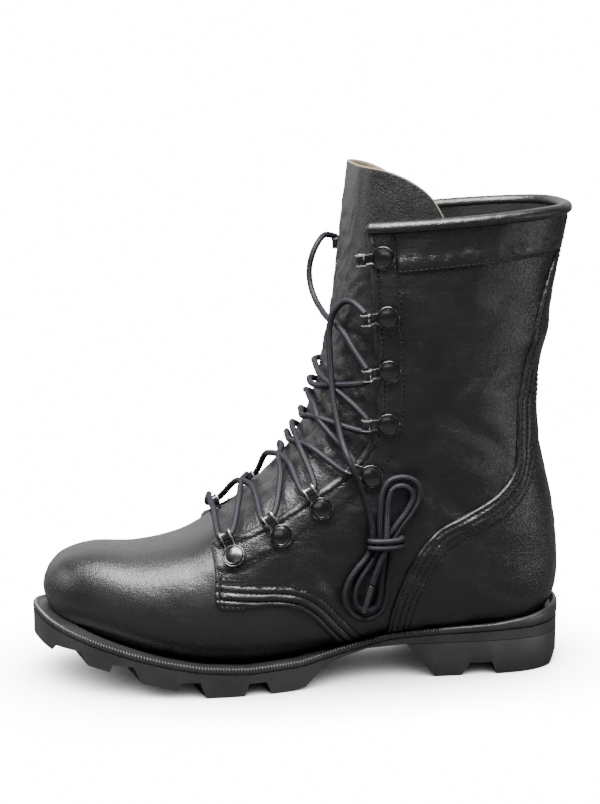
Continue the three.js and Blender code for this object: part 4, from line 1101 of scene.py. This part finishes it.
quarters = panel(
    "quarters", region(quarter_outline), quarter_profile,
    (0.3, 0.6, 1.6, 2.5, 3.3, 4.7, 5.4, 6.3, 7.2, 7.9, 9.6, 11.4, 13.2), [quarter_leather],
    trims=(collar_field, seat_field, outside_of(throat_outline)),
    rows_of_stitches=[row[0] for row in QUARTER_GROOVES],
    seam=region(quarter_seam), edge_levels=(0.35, 0.9, 1.5, 2.1, 3.1, 3.8),
)
finish_piece(quarters, "upper_leather", "upper")

# %% Bar tacks and the front edge's row
quarter_surface = BVHTree.FromPolygons(
    [vertex.co for vertex in quarters.data.vertices], [tuple(p.vertices) for p in quarters.data.polygons])
# Side-view lines: three short reinforcing rows above the corner, and one row up the front edge.
TACK_LINES = [
    [(176.8, 64.0), (165, 63.6)], [(176.9, 65.7), (165, 65.3)], [(177, 67.4), (165, 67.0)],
    [(177.6, 52.6), (178.5, 62), (179.9, 75)],
]
for side in SIDES.values():
    for line in TACK_LINES:
        row = []
        for x, z in even_steps(np.array(line), 1.0):
            place, out, _, _ = quarter_surface.ray_cast(
                Vector((x * MM, side * SOLE_WIDTH * MM, z * MM)), Vector((0, -side, 0)))
            if place:
                row.append((*(place / MM), *out, side))
        if row:
            seam_lines.setdefault(("quarters", "tacks"), []).append(np.array(row))

# %% Facing strips
def on_side(side):
    return lambda attributes: attributes[:, 6] * side + 0.5


FACING_BANDS = [(0.2, 3.0, 0.55)]
FACING_GROOVES = [(3.3, 0.25, 0.35), (13.6, 0.25, 0.35)]


def facing_profile(edge, d):
    behind = np.clip((EYESTAY_WIDTH - d) / 4, 0, 1)
    lift = OVER_QUARTERS + 0.8 * behind * behind * (3 - 2 * behind) * rounded(edge, 1, 0.5)
    return lift + seam_relief(d, FACING_BANDS, FACING_GROOVES)


for word, side in SIDES.items():
    facing = panel(
        f"facing_{word}", region(eyestay_outline), facing_profile,
        (0.3, 0.6, 1.1, 1.6, 2.2, 2.7, 3.7, 11.4, 12.2, 12.9, 14.2), [quarter_leather],
        trims=(collar_field, on_side(side)), rows_of_stitches=[row[0] for row in FACING_GROOVES],
        seam=outside_of(throat_outline),
    )
    finish_piece(facing, "upper_leather", f"eyestay_{word}")

# %% Heel counter
COUNTER_BANDS = [(2.6, 5.6, 0.7), (6.2, 9.1, 0.6), (9.7, 12.4, 0.4)]
COUNTER_GROOVES = [(12.8, 0.3, 0.4)]


def counter_profile(edge, d):
    return OVER_QUARTERS + rounded(d, 1.25, 0.6) + band(d, 0.1, 2.1, 0.45)


def counter_bands(attributes, d):
    """Padded bands along the seam, which run out where the back strip gets narrow."""
    narrow = np.clip((190 - attributes[:, 2]) / 50, 0, 1)
    return seam_relief(d, COUNTER_BANDS, COUNTER_GROOVES) * narrow


counter = panel(
    "heel_counter_leather", region(counter_outline), counter_profile,
    (0.3, 0.6, 1.1, 1.7, 2.8, 3.4, 4.1, 4.8, 5.4, 6.6, 7.4, 8.1, 8.8, 10.3, 11.6, 13.3), [quarter_leather],
    trims=(collar_field, seat_field), rows_of_stitches=(2.3, 5.9, 9.4, 12.8), bumps=counter_bands,
)
finish_piece(counter, "upper_leather", "heel_counter")

# %% Cuff band
CUFF_BAND = 0.9
CUFF_SLOPE = 0.12


def cuff_height(share):
    return rise_to_height(share, CUFF_BAND + (0.4 - share) * CUFF_SLOPE)


cuff_outline = np.vstack([
    spline(side_line(COUNTER_FRONT))[60:] + (-2.0, 0), [(along_sole(0.03), HIGH), (along_sole(0.36), HIGH)],
    spline(throat_line(EYESTAY_WIDTH - 2)[5:])[::-1],
])


def above_cuff_line(attributes):
    share = (attributes[:, 0] - HEEL_BACK) / SOLE_LENGTH
    return attributes[:, 2] - cuff_height(share)


def cuff_wrinkles(attributes, distance):
    x, z = attributes[:, 0], attributes[:, 2]
    waves = np.sin(x * 0.75 + 1.8 * np.sin(z * 0.13)) + 0.6 * np.sin(x * 1.55 + 2.0 + np.sin(z * 0.3))
    return 0.2 * waves * np.clip((distance - 3) / 4, 0, 1)


def cuff_profile(edge, d):
    return QUARTER_LIFT + rounded(edge, 0.95, 1.0) + band(d, 1.4, 9.0, 0.55) - ridge(d, 1.1, 0.2, 0.35)


for word, side in SIDES.items():
    cuff = panel(
        f"cuff_band_{word}", lower(region(cuff_outline), above_cuff_line), cuff_profile,
        (0.3, 0.6, 1.6, 2.4, 3.6, 5.2, 7, 8.4), [quarter_leather], trims=(collar_field, on_side(side)),
        rows_of_stitches=(1.1,), bumps=cuff_wrinkles, seam=above_cuff_line,
    )
    finish_piece(cuff, "upper_leather", f"cuff_{word}")

# %% [markdown]
# ## Tongue
# The tongue is one soft sheet inside the throat. Its wrinkles gather at the ankle's bend, and the
# cut edge at its top is raw, so the sheet's rim gets a suede finish of its own.

# %% Tongue
TONGUE_HEIGHT = 292
TONGUE_LIFT = -2.55
TONGUE_DEPTH = 16
tongue_rear = throat_line(TONGUE_DEPTH)[1:-2] - np.column_stack([np.arange(9) * 1.5, np.zeros(9)])
tongue_top = [(0.26, 0.905), (0.283, 0.943), (0.312, 0.968), (0.352, 0.988), (0.395, 0.998), (0.46, 1)]
tongue_outline = np.vstack([
    [corner(0.69, 0.2)], tongue_rear,
    spline([(float(along_sole(at)), share * TONGUE_HEIGHT) for at, share in tongue_top]),
    [(along_sole(1), TONGUE_HEIGHT)],
])
throat_field = region(throat_outline)


def tongue_wrinkles(attributes, distance):
    points = attributes[:, :3]
    free = np.clip(throat_field(attributes) / 7, 0.1, 1)
    bend = np.exp(-(((points[:, 2] - 150) / 50) ** 2))
    folds = -np.clip(creased_noise(points * (0.8, 0.45, 1), 26, 23), 0, 1) * 2.2 * bend
    middling = -np.clip(creased_noise(points * (1, 0.6, 1.1), 13, 22), 0, 1) * (0.5 + 0.5 * bend)
    fine = soft_noise(points * (1, 0.6, 0.7), 6, 21) * 0.2
    return (folds + middling + fine) * free


tongue = panel(
    "tongue_sheet", region(tongue_outline), lambda edge, d: TONGUE_LIFT + rounded(d, 0.9, 1.1) - 0.9,
    (0.25, 0.7, 1.1), [tongue_leather, suede], thickness=1.8, bumps=tongue_wrinkles, amount=0.5,
    raw_edge=0.7,
)
finish_piece(tongue, "tongue_leather", "tongue")

# %% [markdown]
# ## Collar roll
# A strip of soft leather is folded over foam and sewn to the top edge. It is a tube along the
# collar, pinched a little by gathers and rounded off at its two front ends.

# %% Collar roll
ROLL_RADIUS = 3.6
FIRST_TURN = 0.176
ROLL_SIDES = 20
ROLL_SECTION = 18.0
ROLL_POINTS = 90
ROLL_SINK = 2.2
ROLL_DROP = 1.8
ROLL_STEP = 0.9


def soft_tube(name, path, radius_at, sides):
    tangents = unit_tangents(path)
    angles = np.linspace(0, 2 * math.pi, sides, endpoint=False)
    rings = []
    for i, (point, tangent) in enumerate(zip(path, tangents)):
        out = np.cross(tangent, (0, 0, 1.0))
        out /= np.linalg.norm(out)
        rings.append(ring_at(point, radius_at(i, angles), angles, out, np.cross(out, tangent)))
    count = len(path)
    vertices = np.vstack(rings + [path[:1], path[-1:]])
    along = np.repeat(np.arange(count) / 20, sides)
    uv = np.vstack([np.column_stack([np.tile(angles / (2 * math.pi), count), along]), [[0, 0], [0, 0]]])
    piece = new_mesh(name, vertices * MM, tube_faces(count, sides), uv)
    face_outwards(piece)
    piece.select_set(False)
    return piece


def collar_path():
    core = np.array([float(along_sole(0.22)), 0, 0])
    section = np.full(ROLL_POINTS, ROLL_SECTION)
    turn = np.linspace(FIRST_TURN, 1, ROLL_POINTS)
    halves = []
    for side in SIDES.values():
        sides = np.full(ROLL_POINTS, side)
        point = form_points(section, turn, sides)
        along = form_points(section, turn - 0.01, sides) - point
        outward = np.column_stack([along[:, 1], -along[:, 0], np.zeros(ROLL_POINTS)])
        outward /= np.maximum(np.linalg.norm(outward, axis=1), 1e-9)[:, None]
        flip = (outward * (point - core)).sum(axis=1) < 0
        outward[flip] *= -1
        point = point + outward * (ROLL_RADIUS - ROLL_SINK)
        share = (point[:, 0] - HEEL_BACK) / SOLE_LENGTH
        point[:, 2] = COLLAR_HEIGHT + COLLAR_RISE * (0.42 - share) / 0.36 + ROLL_RADIUS - ROLL_DROP
        halves.append(point)
    whole = np.vstack([halves[0], halves[1][::-1][1:]])
    return even_steps(spline(whole[::6], per_span=10), ROLL_STEP)


roll_path = collar_path()
roll_random = np.random.default_rng(4)
gathers = np.convolve(roll_random.normal(size=len(roll_path)), np.ones(3) / 3, mode="same")
slow = np.convolve(roll_random.normal(size=len(roll_path)), np.ones(15) / 15, mode="same")


def roll_radius(i, angles):
    ends = min(i, len(roll_path) - 1 - i) * ROLL_STEP
    taper = math.sqrt(max(1 - max(1 - ends / 3.2, 0) ** 2, 0.02))
    flatten = 1 + 0.06 * np.cos(2 * angles)
    uneven = 1 + 0.02 * gathers[i] * np.abs(np.cos(angles)) + 0.05 * slow[i]
    return ROLL_RADIUS * taper * flatten * uneven


roll = soft_tube("padded_collar", roll_path, roll_radius, ROLL_SIDES)
give(roll, collar_leather)
finish_piece(roll, "upper_leather", "collar_roll")

# %% [markdown]
# ## Speed loops
# Each loop is a stamped steel plate with a raised ring, a domed rivet and a strap that is folded
# into a flat tube. One loop is modelled at the origin, and sixteen copies are set in place.

# %% One loop
CAP_RADIUS = 5.3
RING_RADIUS = 6.3


def add_part(operator, **values):
    bpy.ops.object.select_all(action="DESELECT")
    operator(**values)
    return bpy.context.active_object


# Stores a mask of worn enamel and painted highlights, which the enamel shader shows as bright metal.
def set_wear_and_highlight(piece, value_at):
    layer = piece.data.attributes.new("wear_and_highlight", "FLOAT", "POINT")
    points = np.empty(len(piece.data.vertices) * 3)
    piece.data.vertices.foreach_get("co", points)
    layer.data.foreach_set("value", value_at(points.reshape(-1, 3) / MM).astype(np.float32))


def settle(piece):
    select_only(piece)
    bpy.ops.object.transform_apply(location=True, rotation=True, scale=True)


def apply_all(piece):
    select_only(piece)
    for modifier in list(piece.modifiers):
        bpy.ops.object.modifier_apply(modifier=modifier.name)


def make_loop():
    parts = []
    # The rim's top, the cap's edge, the lip's top, the strap's raised edges and the tube's ends get painted
    # highlights, partly worn enamel too.
    plate = add_part(
        bpy.ops.mesh.primitive_cylinder_add, vertices=40, radius=RING_RADIUS * MM, depth=0.9 * MM,
        location=(0, 0, 0.8 * MM),
    )
    settle(plate)
    set_wear_and_highlight(plate, lambda p: np.full(len(p), 0.0))
    parts.append(plate)
    rim = add_part(
        bpy.ops.mesh.primitive_torus_add, major_radius=(RING_RADIUS - 0.35) * MM, minor_radius=0.55 * MM,
        major_segments=44, minor_segments=10, location=(0, 0, 1.35 * MM),
    )
    settle(rim)
    set_wear_and_highlight(rim, lambda p: np.clip((p[:, 2] - 1.5) / 0.4, 0, 1) * 0.5)
    parts.append(rim)
    cap = add_part(
        bpy.ops.mesh.primitive_uv_sphere_add, segments=36, ring_count=18, radius=CAP_RADIUS * MM,
        location=(0, 0, 1.7 * MM),
    )
    cap.scale = (1, 1, 0.24)
    settle(cap)
    set_wear_and_highlight(cap, lambda p: np.clip((np.hypot(p[:, 0], p[:, 1]) - 4.7) / 0.4, 0, 1) * 0.2)
    parts.append(cap)
    lip = add_part(
        bpy.ops.mesh.primitive_torus_add, major_radius=(CAP_RADIUS - 0.45) * MM, minor_radius=0.42 * MM,
        major_segments=40, minor_segments=8, location=(0, 0, 2.05 * MM),
    )
    settle(lip)
    set_wear_and_highlight(lip, lambda p: np.clip((p[:, 2] - 2.2) / 0.25, 0, 1) * 0.4)
    parts.append(lip)

    # Place along the strap, its half width and its height there. Each side has a raised edge.
    stations = [(4.2, 3.7, 1.1), (5.6, 3.2, 1.2), (7.0, 2.9, 1.6), (8.4, 3.0, 2.4), (9.6, 3.1, 3.0)]
    vertices = []
    for x, half, high in stations:
        edge = high + 0.55
        vertices += [
            (x, -half, 0.4), (x, -half, edge), (x, -half + 0.7, edge), (x, -half + 1.0, high),
            (x, half - 1.0, high), (x, half - 0.7, edge), (x, half, edge), (x, half, 0.4),
        ]
    corners = len(vertices) // len(stations)
    faces = ring_faces(len(stations), corners)
    faces += [tuple(range(corners))[::-1], tuple(range(len(vertices) - corners, len(vertices)))]
    strap = new_mesh("strap", np.array(vertices) * MM, faces)
    bevel = strap.modifiers.new("soft edges", "BEVEL")
    bevel.width = 0.22 * MM
    bevel.segments = 2
    apply_all(strap)
    set_wear_and_highlight(strap, lambda p: np.clip((np.abs(p[:, 1]) - 2.1) / 0.5, 0, 1)
             * np.clip((p[:, 2] - 0.9) / 0.7, 0, 1) * 0.6)
    parts.append(strap)

    tube = add_part(
        bpy.ops.mesh.primitive_cylinder_add, vertices=36, radius=1 * MM, depth=BRACKET_LENGTH * MM,
        end_fill_type="NOTHING", rotation=(math.pi / 2, 0, 0),
        location=(REACH * MM, 0, (CLEARANCE + BRACKET_HEIGHT / 2) * MM),
    )
    tube.scale = (BRACKET_DEPTH / 2, BRACKET_HEIGHT / 2, 1)
    settle(tube)
    bpy.ops.object.mode_set(mode="EDIT")
    bpy.ops.mesh.select_mode(type="EDGE")
    bpy.ops.mesh.select_all(action="SELECT")
    bpy.ops.mesh.subdivide(number_cuts=3)
    bpy.ops.object.mode_set(mode="OBJECT")
    center = np.array([REACH, 0, CLEARANCE + BRACKET_HEIGHT / 2])
    half_length = BRACKET_LENGTH / 2
    for vertex in tube.data.vertices:
        point = np.array(vertex.co) / MM - center
        outwards = abs(point[1]) / half_length
        flare = 0.92 + 0.12 * outwards**3
        point[0] *= flare
        point[2] *= flare
        point[1] *= 1.02
        vertex.co = Vector((point + center) * MM)
    wall = tube.modifiers.new("sheet", "SOLIDIFY")
    wall.thickness = 0.7 * MM
    wall.offset = -1
    rounding = tube.modifiers.new("soft edges", "BEVEL")
    rounding.width = 0.2 * MM
    rounding.segments = 2
    rounding.limit_method = "ANGLE"
    apply_all(tube)
    set_wear_and_highlight(tube, lambda p: np.clip((np.abs(p[:, 1]) - (half_length - 0.75)) / 0.5, 0, 1))
    parts.append(tube)

    bpy.ops.object.select_all(action="DESELECT")
    for part in parts:
        part.select_set(True)
    bpy.context.view_layer.objects.active = parts[0]
    bpy.ops.object.join()
    loop = bpy.context.active_object
    loop.name = "speed_loop"
    bpy.ops.object.shade_smooth_by_angle(angle=math.radians(40))
    loop.select_set(False)
    return loop


loop_model = make_loop()
give(loop_model, loop_enamel)
for word in SIDES:
    for number in range(1, 9):
        copy = loop_model.copy()
        copy.data = loop_model.data.copy()
        copy.name = f"lace_loop_{word}_{number}"
        bpy.context.scene.collection.objects.link(copy)
        matrix = loop_matrix(word, number)
        matrix.translation *= MM
        copy.data.transform(matrix)
        finish_piece(copy, "loop_enamel", f"speed_loop_{word}_{number}")
bpy.data.objects.remove(loop_model)

# %% [markdown]
# ## The tied hank
# The free end is folded into loops, and two turns of lace round their middle hold them. A tip
# keeps the braid from fraying.

# %% Wraps and tip
WRAP_TURNS = 2
WRAP_MIDDLE = np.array([86.8, 50.4, 84.8])


def wrap_points():
    points = []
    for angle in np.linspace(-0.4 * math.pi, (2 * WRAP_TURNS - 0.6) * math.pi, 14 * WRAP_TURNS):
        rise = angle / (2 * math.pi) * LACE * 1.12 - LACE * 0.9 + 0.45 * math.cos(angle)
        points.append(WRAP_MIDDLE + (9.0 * math.cos(angle), 3.9 * math.sin(angle) + 0.3, rise))
    return np.array(points)


wraps, _ = braided_tube("hank_wraps", wrap_points(), LACE / 2 * 0.96)
give(wraps, lace_black)
finish_piece(wraps, "lace_cord", "lace_wraps")

tip = add_part(bpy.ops.mesh.primitive_cylinder_add, vertices=24, radius=1.55 * MM, depth=17 * MM)
bpy.ops.object.mode_set(mode="EDIT")
bpy.ops.mesh.select_mode(type="FACE")
bpy.ops.mesh.select_all(action="SELECT")
bpy.ops.mesh.bevel(offset=0.4 * MM, segments=3, affect="EDGES")
bpy.ops.object.mode_set(mode="OBJECT")
TIP_TOP = Vector((94.9, 52.9, 61.0))
TIP_END = Vector((99.2, 51.4, 44.6))
lean = (TIP_END - TIP_TOP).to_track_quat("Z", "Y").to_matrix().to_4x4()
tip.data.transform(Matrix.Translation((TIP_TOP + TIP_END) / 2 * MM) @ lean)
tip.name = "lace_end_tip"
bpy.ops.object.shade_smooth_by_angle(angle=math.radians(40))
give(tip, tip_plastic)
finish_piece(tip, "lace_tip", "lace_tip")

# %% [markdown]
# ## Sole
# The sole's plan outline is one closed curve. The outsole and heel are prisms of it, trimmed by
# their side view and cut by the tread channels with booleans. The welt is a swept strip whose
# ribs are part of its shape.

# %% Sole outline
HALF_SOLE = SOLE_WIDTH / 2
outer_side = [(float(along_sole(row[0])), row[1] * HALF_SOLE) for row in SOLE_STATIONS]
inner_side = [(float(along_sole(row[0])), -row[2] * HALF_SOLE) for row in SOLE_STATIONS[1:-1]]
sole_curve = spline(outer_side + inner_side[::-1], closed=True, per_span=16)


def closed_steps(curve, step):
    ring = even_steps(np.vstack([curve, curve[:1]]), step)[:-1]
    tangent = np.roll(ring, -1, axis=0) - np.roll(ring, 1, axis=0)
    tangent /= np.linalg.norm(tangent, axis=1)[:, None]
    outward = np.column_stack([-tangent[:, 1], tangent[:, 0]])
    if (outward * (ring - ring.mean(axis=0))).sum() < 0:
        outward = -outward
    return ring, outward


def prism(name, polygon, axis, low, high):
    """A flat outline drawn along an axis: 2 upwards, 1 through the width."""
    polygon = np.asarray(polygon, float)
    n = len(polygon)
    levels = []
    for level in (low, high):
        row = np.full((n, 3), float(level))
        row[:, 0] = polygon[:, 0]
        row[:, 3 - axis] = polygon[:, 1]
        levels.append(row)
    faces = [tuple(range(n)), tuple(range(2 * n - 1, n - 1, -1))]
    faces += [(i, n + i, n + (i + 1) % n, (i + 1) % n) for i in range(n)]
    piece = new_mesh(name, np.vstack(levels) * MM, faces, smooth=False)
    face_outwards(piece)
    return piece


def cut(piece, tool, operation):
    modifier = piece.modifiers.new("cut", "BOOLEAN")
    modifier.operation = operation
    modifier.solver = "EXACT"
    modifier.object = tool
    apply_all(piece)
    bpy.data.objects.remove(tool)


def soften(piece, width):
    modifier = piece.modifiers.new("soft edges", "BEVEL")
    modifier.width = width * MM
    modifier.segments = 2
    modifier.limit_method = "ANGLE"
    modifier.angle_limit = math.radians(30)
    apply_all(piece)
    bpy.ops.object.shade_smooth_by_angle(angle=math.radians(35))


sole_ring, _ = closed_steps(sole_curve, 2.0)
# Place along the sole and height there, as a share of the heel block's.
TREAD = [
    (0.315, 1), (0.39, 0.97), (0.442, 0.78), (0.471, 0.62), (0.509, 0.07), (0.545, 0), (0.7, 0),
    (0.749, 0.22), (0.802, 0.4), (0.86, 0.66), (0.903, 0.78), (0.958, 0.95), (1.02, 1.18),
]
LUG_GAPS = (0.597, 0.72, 0.832, 0.912)
LUG_DEPTH = 7
LUG_GAP = 10.2
LUG_FLARE = 5.44
CHEVRON_SLANT = 0.28

# %% Outsole
deck_line = [(float(along_sole(s)), float(deck_at(s))) for s in np.linspace(1.03, -0.03, 70)]
tread_line = [(float(along_sole(at)), height * HEEL_BLOCK) for at, height in TREAD]
outsole = prism("outsole_rubber", sole_ring, 2, -5, 60)
side_view = [(float(along_sole(-0.03)), HEEL_BLOCK)] + tread_line + deck_line
cut(outsole, prism("side", side_view, 1, -80, 80), "INTERSECT")
half_top = LUG_GAP / 2
half_foot = half_top + LUG_FLARE
for gap in LUG_GAPS:
    floor = HEEL_BLOCK * float(np.interp(gap, [row[0] for row in TREAD], [row[1] for row in TREAD]))
    center = float(along_sole(gap))
    for side in SIDES.values():
        channel = prism("channel", [
            (center - half_top, floor + LUG_DEPTH), (center - half_foot, floor - LUG_DEPTH),
            (center + half_foot, floor - LUG_DEPTH), (center + half_top, floor + LUG_DEPTH),
        ], 1, 0, 65)
        for vertex in channel.data.vertices:
            y = vertex.co.y / MM
            vertex.co.x += CHEVRON_SLANT * (HALF_SOLE - y) * MM
            vertex.co.y = side * vertex.co.y
        if side < 0:
            channel.data.flip_normals()
        cut(outsole, channel, "DIFFERENCE")
soften(outsole, 0.7)
give(outsole, sole_rubber)
finish_piece(outsole, "sole_rubber", "outsole")

# %% Heel
HEEL_GAP = 0.171
HEEL_GAP_WIDTH = 13
HEEL_GAP_FLARE = 5
gap_middle = float(along_sole(HEEL_GAP))
half_gap = HEEL_GAP_WIDTH / 2
heel_top = HEEL_BLOCK - CLEARANCE
heel_side = [
    (float(along_sole(-0.03)), heel_top), (float(along_sole(-0.03)), 5), (float(along_sole(0.013)), 5),
    (float(along_sole(0.028)), 0), (gap_middle - half_gap - HEEL_GAP_FLARE / 2, 0),
    (gap_middle - half_gap, LUG_DEPTH), (gap_middle + half_gap, LUG_DEPTH),
    (gap_middle + half_gap + HEEL_GAP_FLARE, 0), (float(along_sole(0.26)), 0),
    (float(along_sole(0.313)), heel_top),
]
heel = prism("heel_rubber", sole_ring, 2, -5, 60)
cut(heel, prism("side", heel_side, 1, -80, 80), "INTERSECT")
soften(heel, 0.7)
give(heel, sole_rubber)
finish_piece(heel, "sole_rubber", "heel")

# %% Welt
RIB_PITCH = 1.7
RIB_DEPTH = 0.55
RIB_START = 0.244
fine_ring, fine_out = closed_steps(sole_curve, RIB_PITCH / 8)
ring_share = (fine_ring[:, 0] - HEEL_BACK) / SOLE_LENGTH
phase = 2 * math.pi * np.arange(len(fine_ring)) / 8
ribbed = np.clip((ring_share - RIB_START) / 0.01, 0, 1)
rib = RIB_DEPTH * ribbed * (1 - np.clip(0.5 - 0.5 * np.cos(phase), 0, 1) ** 0.45)
low_z = deck_at(ring_share) + CLEARANCE
high_z = rim_at(ring_share)
# Inset from the edge, share of the height, how far the ribs cut inwards and downwards here.
WELT_PROFILE = [
    (11, 0, 0, 0), (0.9, 0, 0, 0), (0.35, 0.05, 0.4, 0), (0.1, 0.14, 1, 0), (0, 0.5, 1, 0),
    (0.15, 0.8, 1, 0.3), (0.7, 0.96, 0.6, 0.8), (2.4, 1, 0, 1), (3.2, 0.8, 0, 0), (4.2, 0.6, 0, 0),
    (11, 0.6, 0, 0),
]
welt_rows = []
for inset, share_up, inwards, downwards in WELT_PROFILE:
    flat = fine_ring + fine_out * (0.25 - inset - rib * inwards)[:, None]
    welt_rows.append(np.column_stack([flat, low_z + share_up * (high_z - low_z) - rib * downwards]))
count = len(fine_ring)
welt_faces = ring_faces(len(welt_rows), count)
last_row = (len(welt_rows) - 1) * count
for j in range(count):
    k = (j + 1) % count
    welt_faces.append((last_row + j, last_row + k, k, j))
welt = new_mesh("ribbed_welt", np.vstack(welt_rows) * MM, welt_faces)
face_outwards(welt)
bpy.ops.object.shade_smooth_by_angle(angle=math.radians(60))
give(welt, welt_rubber)
finish_piece(welt, "sole_rubber", "welt")

# %% Insole
give(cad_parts["insole"], inside_board)

# %% [markdown]
# ## Stitches
# One stitch is a small capsule of waxed thread. Copies of it are laid end to end along the lines
# where the panels were split, so each row follows its seam over the folds.

# %% Stitch rows
STITCH_PITCH = 2.9
STITCH_LENGTH = 2.3
STITCH_RADIUS = 0.4
STITCH_LIFT = 0.18
STITCH_REACH = 0.6


def stitch_template():
    ball = add_part(bpy.ops.mesh.primitive_uv_sphere_add, segments=6, ring_count=5, radius=1)
    points = np.array([vertex.co[:] for vertex in ball.data.vertices])
    faces = [tuple(polygon.vertices) for polygon in ball.data.polygons]
    bpy.data.objects.remove(ball)
    return points[:, [2, 0, 1]] * (STITCH_LENGTH / 2, STITCH_RADIUS, STITCH_RADIUS), faces


stitch_points, stitch_faces = stitch_template()


def stitch_rows(name, rows):
    vertices, faces = [], []
    for row in rows:
        lengths = np.concatenate([[0], np.cumsum(np.linalg.norm(np.diff(row[:, :3], axis=0), axis=1))])
        if lengths[-1] < 3 * STITCH_PITCH:
            continue
        for place in np.arange(STITCH_PITCH / 2, lengths[-1] - STITCH_PITCH / 2, STITCH_PITCH):
            before, here, after = (
                np.array([np.interp(place + shift, lengths, row[:, k]) for k in range(6)])
                for shift in (-STITCH_REACH, 0, STITCH_REACH)
            )
            along = after[:3] - before[:3]
            along /= max(np.linalg.norm(along), 1e-9)
            out = here[3:6] / np.linalg.norm(here[3:6])
            axes = np.array([along, np.cross(out, along), out])
            base = len(vertices) * len(stitch_points)
            vertices.append(here[:3] + out * STITCH_LIFT + stitch_points @ axes)
            faces += [tuple(base + v for v in face) for face in stitch_faces]
    points = np.vstack(vertices) * MM
    piece = new_mesh(name, points, faces, np.zeros((len(points), 2)))
    give(piece, thread)
    finish_piece(piece, "lace_cord")


# The inner rows stop where the back strip gets too narrow for them, as a level and a height.
BACK_STRIP_ROWS = 5
BACK_STRIP_TOP = 180
groups = {}
for (name, level), rows in seam_lines.items():
    if name == "heel_counter_leather" and level > BACK_STRIP_ROWS:
        rows = [row[row[:, 2] < BACK_STRIP_TOP] for row in rows]
    groups.setdefault(name, []).extend(row for row in rows if len(row) > 4)
for name, rows in groups.items():
    stitch_rows(f"stitches_{name}", rows)

# %% [markdown]
# ## Studio
# The photograph looks cut out on pure white. One large soft light stands above the toe, three
# weak ones fill the front, the heel and the toe, and a bright paper is behind the boot. The camera
# sees white and the leather sees a darker room, so that it stays black, with one broad highlight
# on top and a thin bright rim at its back edges.

# %% Floor and lights
WHITE_SEEN = 16.0


def seen_white(nodes, links, lit, strength=None):
    """Pure white for the camera's own rays, dimmed by strength where it is given, and the given shader for
    every other ray.
    """
    rays = nodes.new("ShaderNodeLightPath")
    white = nodes.new("ShaderNodeEmission")
    white.inputs["Strength"].default_value = WHITE_SEEN
    if strength:
        links.new(strength, white.inputs["Strength"])
    choice = nodes.new("ShaderNodeMixShader")
    links.new(rays.outputs["Is Camera Ray"], choice.inputs[0])
    links.new(lit, choice.inputs[1])
    links.new(white.outputs[0], choice.inputs[2])
    return choice.outputs[0]


floor = add_part(bpy.ops.mesh.primitive_plane_add, size=8, location=(0, 0, -0.0005))
floor.name = "studio_floor"
paper = bpy.data.materials.new("studio_paper")
paper.use_nodes = True
paper_nodes, paper_links = paper.node_tree.nodes, paper.node_tree.links
paper_nodes["Principled BSDF"].inputs["Base Color"].default_value = (0.07, 0.07, 0.07, 1)
paper_nodes["Principled BSDF"].inputs["Roughness"].default_value = 0.9
# Ambient occlusion dims the floor's emitted white near the boot. This is a painted contact shadow under the
# sole.
painted_shadow_occlusion = paper_nodes.new("ShaderNodeAmbientOcclusion")
painted_shadow_occlusion.samples = 24
painted_shadow_occlusion.inputs["Distance"].default_value = 0.07
# The painted shadow: the camera's white strength falls where the boot occludes the floor.
painted_shadow_share = math_node(paper_nodes, paper_links, "POWER", painted_shadow_occlusion.outputs["AO"], 2.2)
paper_links.new(
    seen_white(paper_nodes, paper_links, paper_nodes["Principled BSDF"].outputs[0],
               math_node(paper_nodes, paper_links, "MULTIPLY", painted_shadow_share, WHITE_SEEN)),
    paper_nodes["Material Output"].inputs["Surface"])
give(floor, paper)

world = bpy.data.worlds.new("studio")
world.use_nodes = True
sky, sky_links = world.node_tree.nodes, world.node_tree.links
direction = sky.new("ShaderNodeSeparateXYZ")
sky_links.new(sky.new("ShaderNodeTexCoord").outputs["Generated"], direction.inputs[0])
behind = math_node(sky, sky_links, "MULTIPLY_ADD", direction.outputs[1], -1.7, -0.45, clamp=True)
glow = math_node(sky, sky_links, "MULTIPLY_ADD", behind, 1.2, 0.035)
sky_links.new(glow, sky["Background"].inputs["Strength"])
sky["Background"].inputs["Color"].default_value = (1, 1, 1, 1)
sky_links.new(seen_white(sky, sky_links, sky["Background"].outputs[0]), sky["World Output"].inputs["Surface"])
bpy.context.scene.world = world


def soft_light(name, place, target, power, width, height):
    data = bpy.data.lights.new(name, "AREA")
    data.shape = "RECTANGLE"
    data.size = width
    data.size_y = height
    data.energy = power
    light = bpy.data.objects.new(name, data)
    light.location = place
    light.rotation_euler = (Vector(target) - Vector(place)).to_track_quat("-Z", "Y").to_euler()
    bpy.context.scene.collection.objects.link(light)


soft_light("top", (0.3, 0.34, 1.2), (0.18, 0, 0.08), 94, 1.0, 0.8)
soft_light("front", (0.5, 1.2, 0.62), (0.12, 0, 0.1), 2.0, 0.8, 0.4)
soft_light("heel", (-1.0, 0.6, 0.03), (0, 0, 0.03), 5, 0.5, 0.3)
soft_light("toe", (1.1, -0.1, 0.4), (0.24, 0, 0.06), 3, 0.4, 0.5)

# %% Finish
bpy.ops.object.select_all(action="DESELECT")
